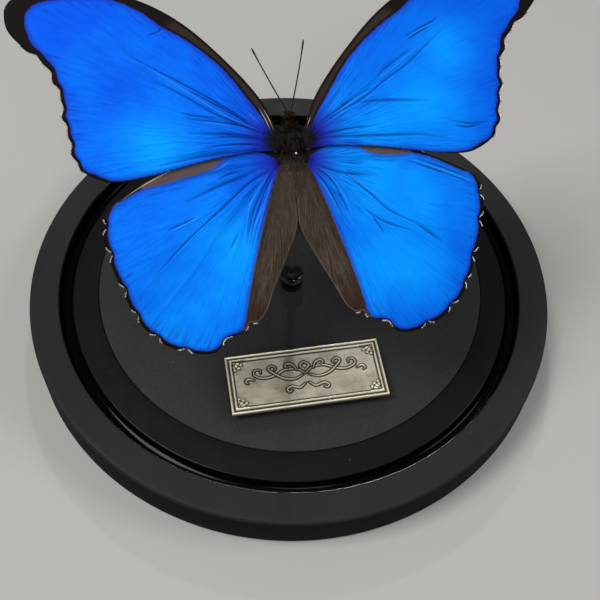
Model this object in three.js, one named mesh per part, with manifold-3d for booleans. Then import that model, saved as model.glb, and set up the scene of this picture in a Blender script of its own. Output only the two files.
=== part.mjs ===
// A spread blue butterfly on a clear post over a round black display base with a dome slot.
// Millimetres, +Z up, +Y to the back. The origin is the middle of the base's underside.
import * as THREE from 'three';
import { mergeVertices } from 'three/addons/utils/BufferGeometryUtils.js';
import Module from 'manifold-3d';

// Base: one turned piece, with a slot for the dome's wall and a disc let into its middle
const baseRadius = 75.6;
const baseHeight = 12.5;
const edgeRound = 1;
const footChamfer = 0.8;
const rimInnerRadius = 67.05;
const slotInnerRadius = 63.6;
const slotFloor = 7.5;
const shoulderDrop = 1.5;
const discRadius = 55.8;
const discGap = 0.4;
const discSeat = 9.5;
const discStep = 0.3;
const roundSides = 96;

// Plate: brass on a black pad, stuck on a little askew
const plaqueCentre = [-0.85, -35.4];
const plaqueTurn = THREE.MathUtils.degToRad(1.2);
const plaqueSize = [42.4, 17.5, 1.4];
const plaqueFrame = 0.7;
const plaqueFrameRise = 0.4;
const padSize = [40.2, 15.4, 2.4];

// Post: a collar on the disc, and a rod that leans from it to the underside of the thorax
const collarFoot = new THREE.Vector3(0, -2.2, baseHeight);
const collarRadius = 3.3;
const collarHeight = 5.8;
const rodRadius = 1.15;

// Butterfly: its wings lie in one plane, which leans back over the post
const bodyPlace = new THREE.Vector3(-2.4, -8.6, 75.5);
const bodyPitch = THREE.MathUtils.degToRad(40.9);
const bodyRoll = THREE.MathUtils.degToRad(1);
const wingRise = THREE.MathUtils.degToRad(1.5);
const wingThickness = 0.5;
const forewingLevel = 0.2;
const hindwingLevel = -0.8;
const clearance = 0.3;

const thoraxSize = [2.5, 5, 3.1];
const thoraxCentre = new THREE.Vector3(0, 1.4, -0.9);
const headRadius = 1.3;
const headCentre = new THREE.Vector3(0, 8, -0.7);
const eyeRadius = 0.78;
const eyeOffset = [1.08, 0.3, -0.1];
const pinRadius = 0.35;
const pinPlace = [0.5, -0.8];
const abdomenLength = 15.2;
const abdomenRadius = 1.85;
const abdomenStart = new THREE.Vector3(0, -3.95, -1.5);
const abdomenDroop = THREE.MathUtils.degToRad(9);
const antennaLength = 16.6;
const antennaRadius = 0.2;
const antennaClub = 0.34;

// Forewing outline, right side, from the front of its root round the tip to the back of its root
const costa = [[3.2, 4.6], [6.1, 11.6], [12.4, 20], [21.8, 29.5], [31.2, 35.4], [41, 38.2], [51, 38.6]];
const tip = [[57.6, 38], [60.2, 36.4], [61, 34], [60.5, 30.7], [57.7, 27.1]];
const outerMargin = [
  [53.6, 23.2], [52.2, 19.4], [50.9, 15.6], [51.1, 11.6], [50.2, 7.2], [50, 3.2], [48.4, -0.4],
];
const hindMargin = [[44.6, -3], [40.4, -3.9], [32.6, -3], [19.3, -0.6], [9.5, 0.35], [3.2, 0.4]];

// Hindwing outline, right side, from its root along the front edge to the tip of its inner fold
const frontEdge = [[3.2, -0.3], [9, 1.3], [18, 1.2], [28.4, -1.9], [36.8, -5.6], [43, -9.4]];
const outerEdge = [[45, -14], [44.2, -21.5], [42, -29], [39.2, -36.3], [33.8, -42.2], [27, -45]];
const backEdge = [[22.4, -45.2], [19.2, -42.4], [13.4, -40.2], [9.9, -37.6]];
const foldEdge = [[7.3, -32.3], [3.7, -25.3], [1.2, -20.1], [0.45, -17], [0.5, -12.5], [2.35, -10.2]];
const foldRoot = [[2.45, -7], [3, -3.8]];

const wasm = await Module();
wasm.setup();

const finish = {
  lacquer: new THREE.MeshStandardMaterial({ color: 0x242424, roughness: 0.45, metalness: 0 }),
  matt: new THREE.MeshStandardMaterial({ color: 0x2a2a2a, roughness: 0.8, metalness: 0 }),
  foam: new THREE.MeshStandardMaterial({ color: 0x111111, roughness: 0.95, metalness: 0 }),
  brass: new THREE.MeshStandardMaterial({ color: 0x8c8264, roughness: 0.45, metalness: 1 }),
  clear: new THREE.MeshStandardMaterial({ color: 0xe8eef0, roughness: 0.05, opacity: 0.35 }),
  steel: new THREE.MeshStandardMaterial({ color: 0xc8c8c8, roughness: 0.3, metalness: 1 }),
  fur: new THREE.MeshStandardMaterial({ color: 0x2c231b, roughness: 0.95, metalness: 0 }),
  horn: new THREE.MeshStandardMaterial({ color: 0x14100d, roughness: 0.5, metalness: 0 }),
  blue: new THREE.MeshStandardMaterial({ color: 0x0a6cff, roughness: 0.35, metalness: 0.4 }),
};
finish.clear.transparent = true;

// Geometry to solid and back, for the few pieces that need a cut
function toSolid(geometry) {
  const bare = geometry.index ? geometry.toNonIndexed() : geometry.clone();
  bare.deleteAttribute('normal');
  bare.deleteAttribute('uv');
  const merged = mergeVertices(bare, 1e-4);
  const vertProperties = new Float32Array(merged.attributes.position.array);
  const triVerts = new Uint32Array(merged.index.array);
  return new wasm.Manifold(new wasm.Mesh({ numProp: 3, vertProperties, triVerts }));
}

function toGeometry(solid) {
  const mesh = solid.getMesh();
  const geometry = new THREE.BufferGeometry();
  geometry.setAttribute('position', new THREE.BufferAttribute(new Float32Array(mesh.vertProperties), 3));
  geometry.setIndex(new THREE.BufferAttribute(new Uint32Array(mesh.triVerts), 1));
  return geometry;
}

// A profile of [radius, height] points turned about +Z; it starts and ends on the axis
function turned(profile, sides) {
  const points = profile.map(([radius, height]) => new THREE.Vector2(radius, height));
  return new THREE.LatheGeometry(points, sides).rotateX(Math.PI / 2);
}

// Points on a quarter circle about [cx, cy], from one angle to another
function arc(cx, cy, radius, from, to, steps) {
  return Array.from({ length: steps + 1 }, (_, i) => {
    const angle = THREE.MathUtils.degToRad(from + ((to - from) * i) / steps);
    return [cx + radius * Math.cos(angle), cy + radius * Math.sin(angle)];
  });
}

function ellipsoid(sizes, centre, grow = 0, detail = [20, 14]) {
  const ball = new THREE.SphereGeometry(1, ...detail);
  ball.scale(...sizes.map((size) => size + grow));
  return ball.translate(centre.x, centre.y, centre.z);
}

// A round bar between two points, with its radius given at even steps along it
function bar(from, to, radii, sides) {
  const length = from.distanceTo(to);
  const steps = radii.length - 1;
  const wall = radii.map((radius, i) => [radius, (length * i) / steps]);
  const geometry = turned([[0, 0], ...wall, [0, length]], sides);
  const aim = new THREE.Quaternion().setFromUnitVectors(
    new THREE.Vector3(0, 0, 1),
    to.clone().sub(from).normalize(),
  );
  return geometry.applyQuaternion(aim).translate(from.x, from.y, from.z);
}

function tube(points, radius, sides, steps) {
  const section = new THREE.Shape();
  section.absarc(0, 0, radius, 0, 2 * Math.PI);
  const extrudePath = new THREE.CatmullRomCurve3(points.map((p) => new THREE.Vector3(...p)));
  return new THREE.ExtrudeGeometry(section, { steps, curveSegments: sides, extrudePath });
}

function placed(name, geometry, material) {
  const mesh = new THREE.Mesh(geometry, material);
  mesh.name = name;
  return mesh;
}

const display = new THREE.Group();

// Base and disc
function baseProfile() {
  const shoulderTop = baseHeight - discStep;
  return [
    [0, 0],
    [baseRadius - footChamfer, 0],
    [baseRadius, footChamfer],
    ...arc(baseRadius - edgeRound, baseHeight - edgeRound, edgeRound, 0, 90, 3),
    [rimInnerRadius + 0.3, baseHeight],
    [rimInnerRadius, baseHeight - 0.3],
    [rimInnerRadius, slotFloor],
    [slotInnerRadius, slotFloor],
    [slotInnerRadius, shoulderTop - shoulderDrop],
    [discRadius + discGap, shoulderTop],
    [discRadius + discGap, discSeat],
    [0, discSeat],
  ];
}

display.add(placed('base', turned(baseProfile(), roundSides), finish.lacquer));

const discProfile = [
  [0, discSeat],
  [discRadius, discSeat],
  [discRadius, baseHeight - 0.2],
  [discRadius - 0.2, baseHeight],
  [0, baseHeight],
];
display.add(placed('base_disc', turned(discProfile, roundSides), finish.matt));

// Pad and brass plate, whose field is sunk below a raised frame
function plaqueGeometry() {
  const [width, depth, thickness] = plaqueSize;
  const slab = toSolid(new THREE.BoxGeometry(width, depth, thickness).translate(0, 0, thickness / 2));
  const field = new THREE.BoxGeometry(width - 2 * plaqueFrame, depth - 2 * plaqueFrame, 1);
  field.translate(0, 0, thickness - plaqueFrameRise + 0.5);
  return toGeometry(slab.subtract(toSolid(field)));
}

const plate = new THREE.Group();
plate.position.set(plaqueCentre[0], plaqueCentre[1], baseHeight);
plate.rotation.z = plaqueTurn;
const pad = new THREE.BoxGeometry(...padSize).translate(0, 0, padSize[2] / 2);
plate.add(placed('plaque_pad', pad, finish.foam));
const plaque = placed('plaque', plaqueGeometry(), finish.brass);
plaque.position.z = padSize[2];
plate.add(plaque);
display.add(plate);

// Butterfly
const butterfly = new THREE.Group();
butterfly.position.copy(bodyPlace);
butterfly.rotation.set(bodyPitch, bodyRoll, 0);
display.add(butterfly);
butterfly.updateMatrixWorld(true);

// Thorax, drilled for the pin
const thoraxBottom = thoraxCentre.z - thoraxSize[2];
const pinTop = new THREE.Vector3(...pinPlace, thoraxCentre.z + thoraxSize[2] + 0.5);
const pinEnd = new THREE.Vector3(...pinPlace, thoraxBottom + 0.4);
const pinHole = bar(
  pinEnd.clone().setZ(thoraxBottom - 1),
  pinTop.clone().setZ(pinTop.z + 1),
  [pinRadius + clearance, pinRadius + clearance],
  10,
);
const thorax = toSolid(ellipsoid(thoraxSize, thoraxCentre)).subtract(toSolid(pinHole));
butterfly.add(placed('thorax', toGeometry(thorax), finish.fur));
butterfly.add(placed('pin', bar(pinEnd, pinTop, [pinRadius, pinRadius], 10), finish.steel));

// Head with a socket for each eye
const eyeCentres = [-1, 1].map((side) => new THREE.Vector3(
  side * eyeOffset[0],
  headCentre.y + eyeOffset[1],
  headCentre.z + eyeOffset[2],
));
let head = toSolid(ellipsoid([headRadius, headRadius, headRadius], headCentre));
for (const centre of eyeCentres) {
  head = head.subtract(toSolid(ellipsoid([eyeRadius, eyeRadius, eyeRadius], centre, clearance, [14, 10])));
}
butterfly.add(placed('head', toGeometry(head), finish.fur));

// Abdomen: a tapered body that droops a little towards its tip
const abdomenAxis = new THREE.Vector3(0, -Math.cos(abdomenDroop), -Math.sin(abdomenDroop));
const abdomenTip = abdomenStart.clone().addScaledVector(abdomenAxis, abdomenLength);
const abdomenShape = [0.55, 0.86, 0.98, 1, 0.97, 0.9, 0.8, 0.66, 0.46, 0.16];
const abdomenRadii = abdomenShape.map((share) => share * abdomenRadius);
butterfly.add(placed('abdomen', bar(abdomenStart, abdomenTip, abdomenRadii, 16), finish.fur));

// The pieces that come in pairs
function wingShape(side, outline) {
  const points = outline.map(([x, y]) => new THREE.Vector2(side * x, y));
  const shape = new THREE.Shape();
  shape.moveTo(points[0].x, points[0].y);
  shape.splineThru(points.slice(1));
  return shape;
}

function wing(side, outline, level) {
  const settings = { depth: wingThickness, bevelEnabled: false, curveSegments: 2 };
  const geometry = new THREE.ExtrudeGeometry(wingShape(side, outline), settings);
  return geometry.translate(0, 0, level).rotateY(-side * wingRise);
}

const forewing = [...costa, ...tip, ...outerMargin, ...hindMargin];
const hindwing = [...frontEdge, ...outerEdge, ...backEdge, ...foldEdge, ...foldRoot];
const antennaAims = { left: [-7.14, 14.9, 0.8], right: [4.25, 16.05, 0.8] };

[['left', -1], ['right', 1]].forEach(([word, side], i) => {
  const eye = ellipsoid([eyeRadius, eyeRadius, eyeRadius], eyeCentres[i], 0, [14, 10]);
  butterfly.add(placed(`eye_${word}`, eye, finish.horn));

  const palpFrom = new THREE.Vector3(side * 0.75, headCentre.y + 0.85, headCentre.z - 1.65);
  const palpTo = palpFrom.clone().add(new THREE.Vector3(0, 0.5, -1.0));
  butterfly.add(placed(`palp_${word}`, bar(palpFrom, palpTo, [0.3, 0.36, 0.1], 8), finish.fur));

  const antennaFrom = new THREE.Vector3(side * 0.35, headCentre.y + 0.7, headCentre.z + 1.55);
  const antennaAim = new THREE.Vector3(...antennaAims[word]).setLength(antennaLength);
  const antennaRadii = [1, 0.9, 0.8, 0.8, 0.8, 0.8, 0.85, 1].map((share) => share * antennaRadius);
  const antennaTo = antennaFrom.clone().add(antennaAim);
  const antenna = bar(antennaFrom, antennaTo, [...antennaRadii, antennaClub, 0.15], 8);
  butterfly.add(placed(`antenna_${word}`, antenna, finish.horn));

  butterfly.add(placed(`forewing_${word}`, wing(side, forewing, forewingLevel), finish.blue));
  butterfly.add(placed(`hindwing_${word}`, wing(side, hindwing, hindwingLevel), finish.blue));

  const legRows = { mid: 1.6, hind: -1.4 };
  for (const [row, start] of Object.entries(legRows)) {
    const route = [
      [side * 2.1, start, -3.7],
      [side * 3.1, start + 1.6, -5],
      [side * 2.7, start - 1, -6],
      [side * 2.2, start - 4.4, -5.6],
    ];
    butterfly.add(placed(`leg_${word}_${row}`, tube(route, 0.26, 8, 12), finish.horn));
  }
});

// Coiled tongue under the head
const coilTurns = 1.6;
const coilPoints = Array.from({ length: 20 }, (_, i) => {
  const share = i / 19;
  const angle = share * coilTurns * 2 * Math.PI;
  const radius = 0.45 + 0.75 * share;
  return [0, 8.9 + radius * Math.cos(angle), -3.6 + radius * Math.sin(angle)];
});
butterfly.add(placed('proboscis', tube(coilPoints, 0.17, 6, 40), finish.horn));

// Collar, and the rod cut to the curve of the thorax above it
function inDisplay(point) {
  return point.clone().applyMatrix4(butterfly.matrixWorld);
}

const rodFoot = collarFoot.clone().add(new THREE.Vector3(0, 0, 1.2));
const rodAimPoint = inDisplay(new THREE.Vector3(thoraxCentre.x, thoraxCentre.y - 1.4, thoraxBottom + 1.2));
const thoraxRoom = ellipsoid(thoraxSize, thoraxCentre, clearance).applyMatrix4(butterfly.matrixWorld);
const rod = toSolid(bar(rodFoot, rodAimPoint, [rodRadius, rodRadius], 16)).subtract(toSolid(thoraxRoom));
display.add(placed('post_rod', toGeometry(rod), finish.clear));

const collarTop = collarFoot.clone().add(new THREE.Vector3(0, 0, collarHeight));
const collarSolid = toSolid(bar(collarFoot, collarTop, [collarRadius, collarRadius], 24));
const rodAim = rodAimPoint.clone().sub(rodFoot).normalize();
const boreFoot = rodFoot.clone().addScaledVector(rodAim, -0.2);
const boreTop = rodFoot.clone().addScaledVector(rodAim, collarHeight + 2);
const bore = bar(boreFoot, boreTop, [rodRadius + clearance, rodRadius + clearance], 16);
display.add(placed('post_collar', toGeometry(collarSolid.subtract(toSolid(bore))), finish.clear));

export default display;
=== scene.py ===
import math

import bpy
import numpy as np
from mathutils import Matrix, Quaternion, Vector
from mathutils.geometry import delaunay_2d_cdt


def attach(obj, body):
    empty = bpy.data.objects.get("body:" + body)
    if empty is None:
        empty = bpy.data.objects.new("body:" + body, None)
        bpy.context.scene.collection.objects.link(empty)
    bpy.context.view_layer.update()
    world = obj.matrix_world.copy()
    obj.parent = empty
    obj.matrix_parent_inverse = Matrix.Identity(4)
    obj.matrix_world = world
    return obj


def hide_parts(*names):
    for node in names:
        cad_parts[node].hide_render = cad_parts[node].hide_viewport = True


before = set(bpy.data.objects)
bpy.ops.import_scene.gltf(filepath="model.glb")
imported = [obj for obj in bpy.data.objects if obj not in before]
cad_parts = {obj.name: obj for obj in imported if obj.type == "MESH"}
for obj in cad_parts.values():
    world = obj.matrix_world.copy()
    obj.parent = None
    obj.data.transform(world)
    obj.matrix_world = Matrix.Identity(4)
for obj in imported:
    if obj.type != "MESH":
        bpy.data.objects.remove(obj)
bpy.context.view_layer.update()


# ---------------------------------------------------------------------------------------------
# Display base: one moulded black piece, turned true, with a satin rim. The deep ring slot takes
# the wall of the dome and is polished, and the shoulder inside it slopes down to the slot.
# ---------------------------------------------------------------------------------------------
MM = 0.001
base_radius = 75.6
base_height = 12.5
edge_round = 1.0
foot_chamfer = 0.8
rim_inner = 67.05
slot_inner = 63.6
slot_floor = 7.5
shoulder_drop = 1.5
disc_radius = 55.8
disc_gap = 0.15
disc_seat = 9.5
disc_step = 0.3
arris_round = 0.3
slot_chamfer = (0.4, 0.5)
lip_round = 0.15
seat_round = 0.25
foot_flat = 0.4
shoulder_middle = 59.6
base_sides = 288
polished_rough = 0.09
side_rough = 0.72


def place_piece(name, shape, material, node, place=None, smooth=True):
    """Makes a mesh piece from its points, in millimetres, and faces, and hangs it on the display."""
    points, faces = shape
    mesh = bpy.data.meshes.new(name)
    mesh.from_pydata([tuple(p) for p in np.asarray(points, float)], [], [tuple(f) for f in faces])
    if place is not None:
        mesh.transform(place)
    mesh.transform(Matrix.Scale(MM, 4))
    mesh.validate()
    mesh.shade_smooth() if smooth else mesh.shade_flat()
    mesh.materials.append(material)
    return hang_piece(add_object(name, mesh), node)


def add_object(name, data):
    thing = bpy.data.objects.new(name, data)
    bpy.context.scene.collection.objects.link(thing)
    return thing


def hang_piece(piece, node=None):
    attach(piece, "root")
    if node:
        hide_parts(node)
    return piece


def arc_points(centre, radius, start, end, steps):
    """Points of a profile on a circle, from one angle to another, in degrees."""
    angles = np.radians(np.linspace(start, end, steps + 1))
    return [(centre[0] + radius * math.cos(a), centre[1] + radius * math.sin(a)) for a in angles]


def turned_mesh(profile, sides):
    """Turns a profile of (radius, height) about +Z. A radius of zero closes it with a single point."""
    points, rings = [], []
    turn = np.linspace(0, 2 * math.pi, sides, endpoint=False)
    for radius, height in profile:
        first = len(points)
        if radius == 0:
            points.append((0, 0, height))
            rings.append([first])
        else:
            points += [(radius * math.cos(a), radius * math.sin(a), height) for a in turn]
            rings.append(list(range(first, first + sides)))
    return points, ring_faces(rings)


def ring_faces(rings):
    """Faces between rings of point numbers that follow each other, going anticlockwise from above."""
    faces = []
    for low, high in zip(rings, rings[1:]):
        count = max(len(low), len(high))
        for i in range(count):
            j = (i + 1) % count
            if len(low) == 1:
                faces.append((low[0], high[j], high[i]))
            elif len(high) == 1:
                faces.append((low[i], low[j], high[0]))
            else:
                faces.append((low[i], low[j], high[j], high[i]))
    return faces


def add_node(tree, kind, inputs=None, **settings):
    """Adds a node, with its settings, and with its inputs set to values or linked to sockets."""
    node = tree.nodes.new(kind)
    for key, value in settings.items():
        setattr(node, key, value)
    for key, value in (inputs or {}).items():
        if isinstance(value, bpy.types.NodeSocket):
            tree.links.new(value, node.inputs[key])
        else:
            node.inputs[key].default_value = value
    return node


def start_finish(name, **constants):
    """A new material, with the constant values of its shader set on the sockets themselves."""
    material = bpy.data.materials.new(name)
    material.use_nodes = True
    shader = material.node_tree.nodes["Principled BSDF"]
    for key, value in constants.items():
        socket_of(shader, key).default_value = value
    return material, material.node_tree, shader


def socket_of(shader, key):
    """A shader's socket by its plain key, such as specular_ior_level."""
    return shader.inputs[key.replace("_", " ").title().replace("Ior", "IOR")]


def feed(shader, **sources):
    """Links what other nodes give to the shader's sockets."""
    for key, source in sources.items():
        shader.id_data.links.new(source, socket_of(shader, key))


def calc(tree, operation, a, b):
    return add_node(tree, "ShaderNodeMath", {0: a, 1: b}, operation=operation).outputs[0]


def times(tree, a, b):
    return calc(tree, "MULTIPLY", a, b)


def plus(tree, a, b):
    return calc(tree, "ADD", a, b)


def vector_calc(tree, operation, a, b):
    second = "Scale" if operation == "SCALE" else 1
    return add_node(tree, "ShaderNodeVectorMath", {0: a, second: b}, operation=operation).outputs[0]


def rise(tree, value, low, high, out_low=0.0, out_high=1.0):
    """A smooth step of value between two limits."""
    inputs = {"Value": value, "From Min": low, "From Max": high, "To Min": out_low, "To Max": out_high}
    return add_node(tree, "ShaderNodeMapRange", inputs, interpolation_type="SMOOTHSTEP").outputs[0]


def mix_colour(tree, share, a, b):
    return add_node(tree, "ShaderNodeMix", {0: share, 6: a, 7: b}, data_type="RGBA").outputs[2]


def mix_number(tree, share, a, b):
    return add_node(tree, "ShaderNodeMix", {0: share, 2: a, 3: b}).outputs[0]


def grain(tree, where, scale, detail=3.0, roughness=0.55, stretch=None):
    """Noise in a piece's own coordinates, stretched along its axes where that is asked for."""
    if stretch:
        where = add_node(tree, "ShaderNodeMapping", {"Vector": where, "Scale": stretch}).outputs[0]
    inputs = {"Vector": where, "Scale": scale, "Detail": detail, "Roughness": roughness}
    return add_node(tree, "ShaderNodeTexNoise", inputs).outputs[0]


def cell_gaps(tree, where, scale):
    """Distance to the middle of the nearest of many small cells."""
    return add_node(tree, "ShaderNodeTexVoronoi", {"Vector": where, "Scale": scale}).outputs["Distance"]


def set_relief(tree, shader, height, distance, strength, under=None):
    """Bumps a surface by up to a distance in metres, over any bump that lies under it."""
    inputs = {"Height": height, "Distance": distance, "Strength": strength}
    if under is not None:
        inputs["Normal"] = under
    normal = add_node(tree, "ShaderNodeBump", inputs).outputs[0]
    feed(shader, normal=normal)
    return normal


def object_place(tree):
    return add_node(tree, "ShaderNodeTexCoord").outputs["Object"]


def dust_on(tree, where, colour, share):
    """Fine lint and dust settled on a dark surface."""
    speck = rise(tree, cell_gaps(tree, where, 900.0), 0.16, 0.05)
    here = rise(tree, grain(tree, where, 260.0), 0.62, 0.72)
    amount = times(tree, times(tree, speck, here), share)
    return mix_colour(tree, amount, colour, (0.42, 0.4, 0.37, 1))


def base_finish():
    """Satin black moulding: grained rim, polished slot darkened and tinted blue as painted shade and a
    painted reflection, outer side wall darkened as painted shade, smoother shoulder, polish rings.
    """
    material, tree, shader = start_finish("base_lacquer", specular_ior_level=0.08)
    where = object_place(tree)
    flat = vector_calc(tree, "MULTIPLY", where, (1, 1, 0))
    radius = add_node(tree, "ShaderNodeVectorMath", {0: flat}, operation="LENGTH").outputs["Value"]
    height = add_node(tree, "ShaderNodeSeparateXYZ", {0: where}).outputs[2]

    def past_radius(edge, start, end):
        return rise(tree, radius, (edge + start) * MM, (edge + end) * MM)

    def past_top(start, end):
        return rise(tree, height, (base_height + start) * MM, (base_height + end) * MM)

    on_rim = past_radius(rim_inner, 0.25, 0.5)
    in_slot = calc(tree, "SUBTRACT", past_radius(slot_inner, -0.5, 0), on_rim)
    side = times(tree, past_top(-0.2, -1.6), on_rim)
    burnished = times(tree, past_radius(rim_inner, -0.02, 0.06), past_radius(rim_inner, 0.36, 0.22))
    burnished = times(tree, burnished, past_top(-0.5, -0.3))
    cloud = grain(tree, where, 42.0, 4.0)
    colour = mix_colour(tree, cloud, (0.0032, 0.0033, 0.0036, 1), (0.0056, 0.0056, 0.0059, 1))
    rim_colour = mix_colour(tree, cloud, (0.0155, 0.0155, 0.016, 1), (0.0215, 0.0215, 0.0218, 1))
    colour = mix_colour(tree, on_rim, colour, rim_colour)
    # The slot gets a darker, faintly blue colour: painted shade in the recess and a painted reflection of
    # the blue wings.
    colour = mix_colour(tree, in_slot, colour, (0.0015, 0.0017, 0.0026, 1))
    # The outer side wall gets a near-black colour: painted shade.
    colour = mix_colour(tree, side, colour, (0.002, 0.002, 0.0021, 1))
    colour = mix_colour(tree, burnished, colour, (0.04, 0.04, 0.04, 1))
    smear = grain(tree, where, 95.0, 5.0, 0.6)
    rough = rise(tree, smear, 0.3, 0.72, 0.58, 0.7)
    rim_rough = rise(tree, smear, 0.3, 0.72, 0.44, 0.56)
    rough = mix_number(tree, on_rim, rough, rim_rough)
    rough = mix_number(tree, in_slot, rough, polished_rough)
    rough = mix_number(tree, side, rough, side_rough)
    feed(shader, base_color=dust_on(tree, where, colour, 0.3), roughness=rough, metallic=burnished)
    rings = add_node(tree, "ShaderNodeTexWave", {"Vector": where, "Scale": 210.0, "Distortion": 0.6},
                     wave_type="RINGS", rings_direction="Z").outputs[0]
    relief = set_relief(tree, shader, rings, 0.000004, 0.5)
    set_relief(tree, shader, grain(tree, where, 1900.0, 2.0), 0.00003, 0.55, relief)
    return material


shoulder_top = base_height - disc_step
seat_radius = disc_radius + disc_gap
shoulder_foot = shoulder_top - shoulder_drop
base_profile = [
    (0, 0),
    (base_radius - foot_chamfer - foot_flat, 0),
    *arc_points((base_radius - foot_chamfer, foot_chamfer), foot_chamfer, -90, 0, 5),
    *arc_points((base_radius - edge_round, base_height - edge_round), edge_round, 0, 90, 8),
    *[(base_radius - edge_round - step, base_height) for step in (1, 3.5, 6)],
    *arc_points((rim_inner + arris_round, base_height - arris_round), arris_round, 90, 180, 5),
    (rim_inner, slot_floor + slot_chamfer[1]),
    (rim_inner - slot_chamfer[0], slot_floor),
    (slot_inner + slot_chamfer[0], slot_floor),
    (slot_inner, slot_floor + slot_chamfer[1]),
    *arc_points((slot_inner - lip_round, shoulder_foot - 0.12), lip_round, 0, 78, 4),
    (shoulder_middle, (shoulder_top + shoulder_foot) / 2),
    *arc_points((seat_radius + seat_round, shoulder_top - 0.2), seat_round, 100, 180, 4),
    (seat_radius, disc_seat),
    (0, disc_seat),
]
place_piece("display_base", turned_mesh(base_profile, base_sides), base_finish(), "base")


# ---------------------------------------------------------------------------------------------
# Disc: fine matt black board, the floor inside the dome. It is cut round and glued into a seat in
# the middle of the base, with a hairline gap around it.
# ---------------------------------------------------------------------------------------------
def disc_finish():
    material, tree, shader = start_finish("disc_board", specular_ior_level=0.22)
    where = object_place(tree)
    cloud = grain(tree, where, 26.0, 4.0)
    fibre = grain(tree, where, 1500.0, 3.0, 0.7)
    colour = mix_colour(tree, cloud, (0.0125, 0.0128, 0.0128, 1), (0.0175, 0.0178, 0.0176, 1))
    colour = mix_colour(tree, rise(tree, fibre, 0.35, 0.7, 0.0, 0.5), colour, (0.026, 0.0262, 0.026, 1))
    colour = dust_on(tree, where, colour, 0.35)
    feed(shader, base_color=colour, roughness=rise(tree, cloud, 0.3, 0.7, 0.66, 0.8))
    set_relief(tree, shader, fibre, 0.00008, 0.6)
    return material


disc_round = 0.2
disc_profile = [
    (0, disc_seat),
    (disc_radius, disc_seat),
    *arc_points((disc_radius - disc_round, base_height - disc_round), disc_round, 0, 90, 4),
    *[(radius, base_height) for radius in (50, 40, 30, 20, 10)],
    (0, base_height),
]
place_piece("board_disc", turned_mesh(disc_profile, base_sides), disc_finish(), "base_disc")


# ---------------------------------------------------------------------------------------------
# Mounting pad: a piece of black foam tape, cut a little smaller than the plate. It sticks to the disc
# on one side and to the plate on the other.
# ---------------------------------------------------------------------------------------------
plate_centre = Vector((-0.85, -35.4, base_height))
plate_turn = math.radians(1.2)
pad_size = (40.2, 15.4, 2.4)
plate_place = Matrix.Translation(plate_centre) @ Matrix.Rotation(plate_turn, 4, "Z")


def pad_finish():
    material, tree, shader = start_finish("pad_foam", specular_ior_level=0.2, roughness=0.9)
    cells = cell_gaps(tree, object_place(tree), 2600.0)
    feed(shader, base_color=mix_colour(tree, cells, (0.003, 0.003, 0.003, 1), (0.012, 0.012, 0.012, 1)))
    set_relief(tree, shader, cells, 0.0001, 0.8)
    return material


def rounded_slab(width, depth, height, corner, waist, levels):
    """A slab with round corners whose side is drawn in by waist at half height, as cut foam is."""
    outline = []
    for start, right, back in ((0, 1, 1), (90, -1, 1), (180, -1, -1), (270, 1, -1)):
        centre = (right * (width / 2 - corner), back * (depth / 2 - corner))
        outline += arc_points(centre, corner, start, start + 90, 6)
    points, rings = [], []
    for level in np.linspace(0, 1, levels):
        draw = waist * math.sin(math.pi * level)
        scale = (1 - 2 * draw / width, 1 - 2 * draw / depth)
        rings.append(list(range(len(points), len(points) + len(outline))))
        points += [(x * scale[0], y * scale[1], height * level) for x, y in outline]
    return points, ring_faces(rings) + [tuple(reversed(rings[0])), tuple(rings[-1])]


pad_shape = rounded_slab(*pad_size, corner=0.5, waist=0.18, levels=9)
place_piece("foam_pad", pad_shape, pad_finish(), "plaque_pad", plate_place, smooth=False)


# ---------------------------------------------------------------------------------------------
# Plate: pressed brass, aged dark in the hollows and rubbed bright on the raised parts. A double
# frame, a shell in each corner and a plain scroll flourish stand up from its field.
# ---------------------------------------------------------------------------------------------
plate_size = (42.4, 17.5, 1.4)
plate_pitch = 0.13
outer_bar = 0.55
groove_width = 0.6
inner_bar = 0.42
field_drop = 0.4
shell_reach = 3.3
scroll_strokes = [
    [(0, 0.9), (2.2, 2.5), (5.4, 2.7), (8.4, 1.3), (11.4, 0.9), (13.8, 2.0), (13.7, 3.5), (12.3, 3.6),
     (12.1, 2.6)],
    [(0.9, 0.5), (3.2, -0.4), (6.2, 0.2), (8.7, 2.1), (9.9, 3.6), (9.0, 4.4), (7.9, 3.7), (8.3, 2.9)],
    [(0, 4.6), (1.2, 3.3), (0, 1.9)],
    [(2.3, 2.2), (3.1, 3.9), (4.6, 4.5), (5.3, 3.7), (4.6, 3.2)],
    [(0.5, -2.0), (2.2, -3.2), (4.3, -2.6), (5.7, -3.3), (5.2, -4.2), (4.4, -3.8)],
    [(14.2, 0.7), (15.6, 1.2), (16.4, 0.5), (15.9, -0.1)],
]
scroll_half_width = 0.25


def spline(points, step):
    """A curve through points (uniform Catmull-Rom), then resampled at an even step along it."""
    path = np.asarray(points, float)
    ends = np.vstack([path[0], path, path[-1]])
    share = np.linspace(0, 1, 24, endpoint=False)[:, None]
    curve = []
    for a, b, c, d in zip(ends, ends[1:], ends[2:], ends[3:]):
        start, end = (c - a) / 2, (d - b) / 2
        cubic = (2 * b - 2 * c + start + end) * share**3
        curve.append(cubic + (3 * c - 3 * b - 2 * start - end) * share**2 + start * share + b)
    curve = np.vstack([*curve, path[-1:]])
    along = np.concatenate([[0], np.cumsum(np.linalg.norm(np.diff(curve, axis=0), axis=1))])
    count = max(2, round(along[-1] / step) + 1)
    even = np.linspace(0, along[-1], count)
    return np.column_stack([np.interp(even, along, curve[:, k]) for k in range(curve.shape[1])])


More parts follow.
